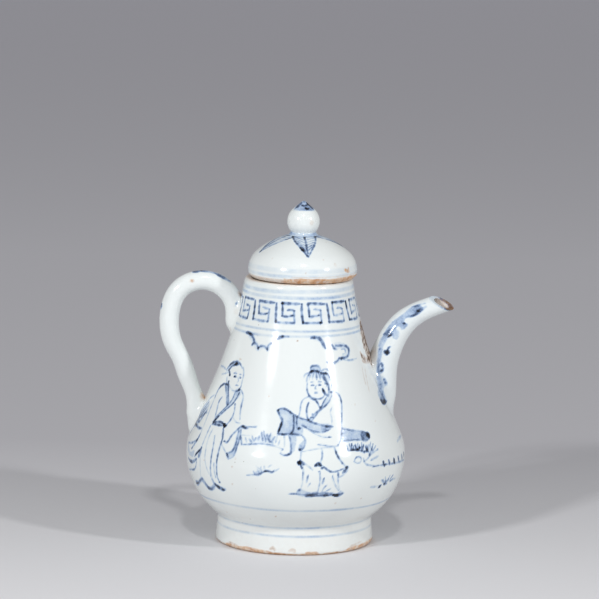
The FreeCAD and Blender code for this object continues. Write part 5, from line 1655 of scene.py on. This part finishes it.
# %% Glaze
COBALT_STOPS = [(0.0, (0.805, 0.837, 0.84)), (1.0, (0.007, 0.008, 0.011)), (0.10, (0.62, 0.70, 0.775)),
                (0.22, (0.40, 0.51, 0.69)), (0.42, (0.15, 0.222, 0.38)), (0.65, (0.052, 0.072, 0.12)),
                (0.85, (0.016, 0.02, 0.028))]
CLAY_AND_SHADE_STOPS = [(0.35, (0.50, 0.24, 0.10)), (0.7, (0.74, 0.55, 0.38))]
RESIDUE_AND_SHADE_STOPS = [(0.3, (0.45, 0.22, 0.085)), (0.95, (0.12, 0.06, 0.028))]
COOL_GLAZE = (0.96, 0.985, 0.99, 1)
WARM_GLAZE = (1.0, 1.0, 0.975, 1)
IRON = (0.20, 0.15, 0.11, 1)
GLOSS = 0.13

glaze, tree, shader = new_material("blue_white_glaze")
gathers = remap(tree, noise(tree, scale=1300, detail=3, rough=0.6), (0.25, 0.75), (0.72, 1.3))
thins = remap(tree, noise(tree, scale=170, detail=3), (0.34, 0.66), (0.55, 1.4))
watery = maths(tree, "MULTIPLY", gathers, thins)
load = maths(tree, "MULTIPLY", layer(tree, "cobalt"), watery, clamp=True)
thick = blend_colour(tree, noise(tree, scale=22, detail=2), COOL_GLAZE, WARM_GLAZE)
colour = blend_colour(tree, 1.0, colour_ramp(tree, load, COBALT_STOPS), thick, "MULTIPLY")
speck = remap(tree, iron_specks(tree, scale=95), (0.018, 0.034), (0.5, 0.0))
colour = blend_colour(tree, speck, colour, IRON)
patchy = remap(tree, noise(tree, scale=700, detail=4), (0.3, 0.6), (0.55, 1.15))
# The toast and grime layers hold toasted clay and residue, and also painted shade in gaps, hollows and low
# on the pot.
toasting_and_shade = maths(tree, "MULTIPLY", layer(tree, "toast_and_shade"), patchy, clamp=True)
clay_and_shade_colour = colour_ramp(tree, noise(tree, scale=330, detail=4), CLAY_AND_SHADE_STOPS)
colour = blend_colour(tree, toasting_and_shade, colour, clay_and_shade_colour)
crumbly = remap(tree, noise(tree, scale=700, detail=4), (0.36, 0.64), (0.5, 1.3))
soil_and_shade = maths(tree, "MULTIPLY", layer(tree, "grime_and_shade"), crumbly, clamp=True)
colour = blend_colour(tree, soil_and_shade, colour, colour_ramp(tree, soil_and_shade, RESIDUE_AND_SHADE_STOPS))
tree.links.new(colour, shader.inputs["Base Color"])
clay_dull = remap(tree, toasting_and_shade, (0.0, 1.0), (GLOSS, 0.5))
soil_dull = remap(tree, soil_and_shade, (0.0, 1.0), (0.0, 0.4))
tree.links.new(maths(tree, "ADD", clay_dull, soil_dull), shader.inputs["Roughness"])
swell = maths(tree, "MULTIPLY", noise(tree, scale=55, detail=1), 4.0)
orange_peel = maths(tree, "ADD", swell, noise(tree, scale=420, detail=2))
bump(tree, shader, orange_peel, strength=0.25, distance=0.00012)
for piece in (bowl, shoulder, foot, bead_ring, spout, handle, dome, knob, knob_bead):
    piece.data.materials.append(glaze)
print("material:", glaze.name)

# %% [markdown]
# The collar under the lid is not glazed. Bare porcelain is a dull warm white, with rusty patches.

# %% Bare porcelain
BARE_STOPS = [(0.35, (0.66, 0.60, 0.52)), (0.7, (0.78, 0.75, 0.70))]
RUST = (0.55, 0.33, 0.18, 1)
porcelain, tree, shader = new_material("bare_porcelain")
warm = colour_ramp(tree, noise(tree, scale=60, detail=4), BARE_STOPS)
rusty = remap(tree, noise(tree, scale=260, detail=4), (0.6, 0.75), (0.0, 0.5))
tree.links.new(blend_colour(tree, rusty, warm, RUST), shader.inputs["Base Color"])
shader.inputs["Roughness"].default_value = 0.6
bump(tree, shader, noise(tree, scale=1500, detail=3), strength=0.3, distance=0.0001)
collar.data.materials.clear()
collar.data.materials.append(porcelain)
print("material:", porcelain.name)

# %% [markdown]
# ## Studio
#
# Two small softboxes stand to the left and right of the camera and give the bright bars on the glaze and the
# two long soft shadows. A lamp over the lens adds the dot between them and the short shadows beside the
# foot. The floor runs far back, so it is the background too. Its colour carries painted light and shade:
# paler towards the camera, darkest a little behind the pot, and paler again far back.

# %% Light and floor
scene = bpy.context.scene
scene.view_settings.view_transform = "Standard"
LIT_POINT = Vector((0, 0, 0.07))


def softbox(name, azimuth, elevation, distance, size, power):
    """A rectangular lamp on a sphere round the pot, facing it."""
    data = bpy.data.lights.new(name, "AREA")
    data.shape = "RECTANGLE"
    data.size, data.size_y = size
    data.energy = power
    lamp = bpy.data.objects.new(name, data)
    scene.collection.objects.link(lamp)
    turn, rise = math.radians(azimuth), math.radians(elevation)
    away = Vector((math.sin(turn) * math.cos(rise), -math.cos(turn) * math.cos(rise), math.sin(rise)))
    lamp.location = LIT_POINT + away * distance
    lamp.rotation_euler = away.to_track_quat("Z", "Y").to_euler()


softbox("left_softbox", azimuth=-41, elevation=23.5, distance=1.5, size=(0.14, 0.09), power=9.7)
softbox("right_softbox", azimuth=56, elevation=23.5, distance=1.5, size=(0.09, 0.12), power=8.4)
softbox("lens_lamp", azimuth=2, elevation=48, distance=1.6, size=(0.10, 0.07), power=4.4)

FLOOR_SIZE = 4.0
FLOOR_NEAR, FLOOR_FAR = -0.15, 3.2
# Painted light and shade on the floor: pale near the camera, darkest a little behind the pot, paler far
# back.
FLOOR_PAINTED_LIGHT_STOPS = [(0.0, (0.80, 0.80, 0.82)), (1.0, (0.82, 0.81, 0.88)), (0.045, (0.70, 0.70, 0.72)),
               (0.11, (0.57, 0.565, 0.595)), (0.3, (0.715, 0.71, 0.75))]
bm = bmesh.new()
bmesh.ops.create_grid(bm, x_segments=1, y_segments=1, size=FLOOR_SIZE)
mesh = bpy.data.meshes.new("studio_floor")
bm.to_mesh(mesh)
bm.free()
floor = bpy.data.objects.new("studio_floor", mesh)
scene.collection.objects.link(floor)
paper, tree, shader = new_material("studio_paper")
split = tree.nodes.new("ShaderNodeSeparateXYZ")
tree.links.new(object_place(tree), split.inputs["Vector"])
depth = remap(tree, split.outputs["Y"], (FLOOR_NEAR, FLOOR_FAR), (0.0, 1.0))
tree.links.new(colour_ramp(tree, depth, FLOOR_PAINTED_LIGHT_STOPS), shader.inputs["Base Color"])
shader.inputs["Roughness"].default_value = 0.85
floor.data.materials.append(paper)

world = bpy.data.worlds.new("studio")
scene.world = world
world.use_nodes = True
background = world.node_tree.nodes["Background"]
background.inputs["Color"].default_value = (0.77, 0.77, 0.785, 1)
background.inputs["Strength"].default_value = 0.39
print("studio:", len(bpy.data.lights), "lamps and a floor")

# %% [markdown]
# The camera stands far off with a long lens, as it would for a catalogue picture, and looks down a little.
# Its place and tilt were fitted to the outline of the real pot, so that the two pictures can be compared.

# %% Camera
CAMERA_PLACE = (0.00049, -1.6, 0.3589)
CAMERA_ROLL = 1.06
camera_data = bpy.data.cameras.new("camera")
camera_data.lens = 223.28
camera_data.sensor_width = 36.0
camera_data.clip_end = 50.0
camera = bpy.data.objects.new("camera", camera_data)
scene.collection.objects.link(camera)
camera.matrix_world = (Matrix.Translation(CAMERA_PLACE)
                       @ Matrix.Rotation(math.radians(90 - CAMERA_TILT), 4, "X")
                       @ Matrix.Rotation(math.radians(CAMERA_ROLL), 4, "Z"))
scene.camera = camera
print(f"camera: {camera_data.lens:.0f} mm lens, tilted down {CAMERA_TILT} degrees")
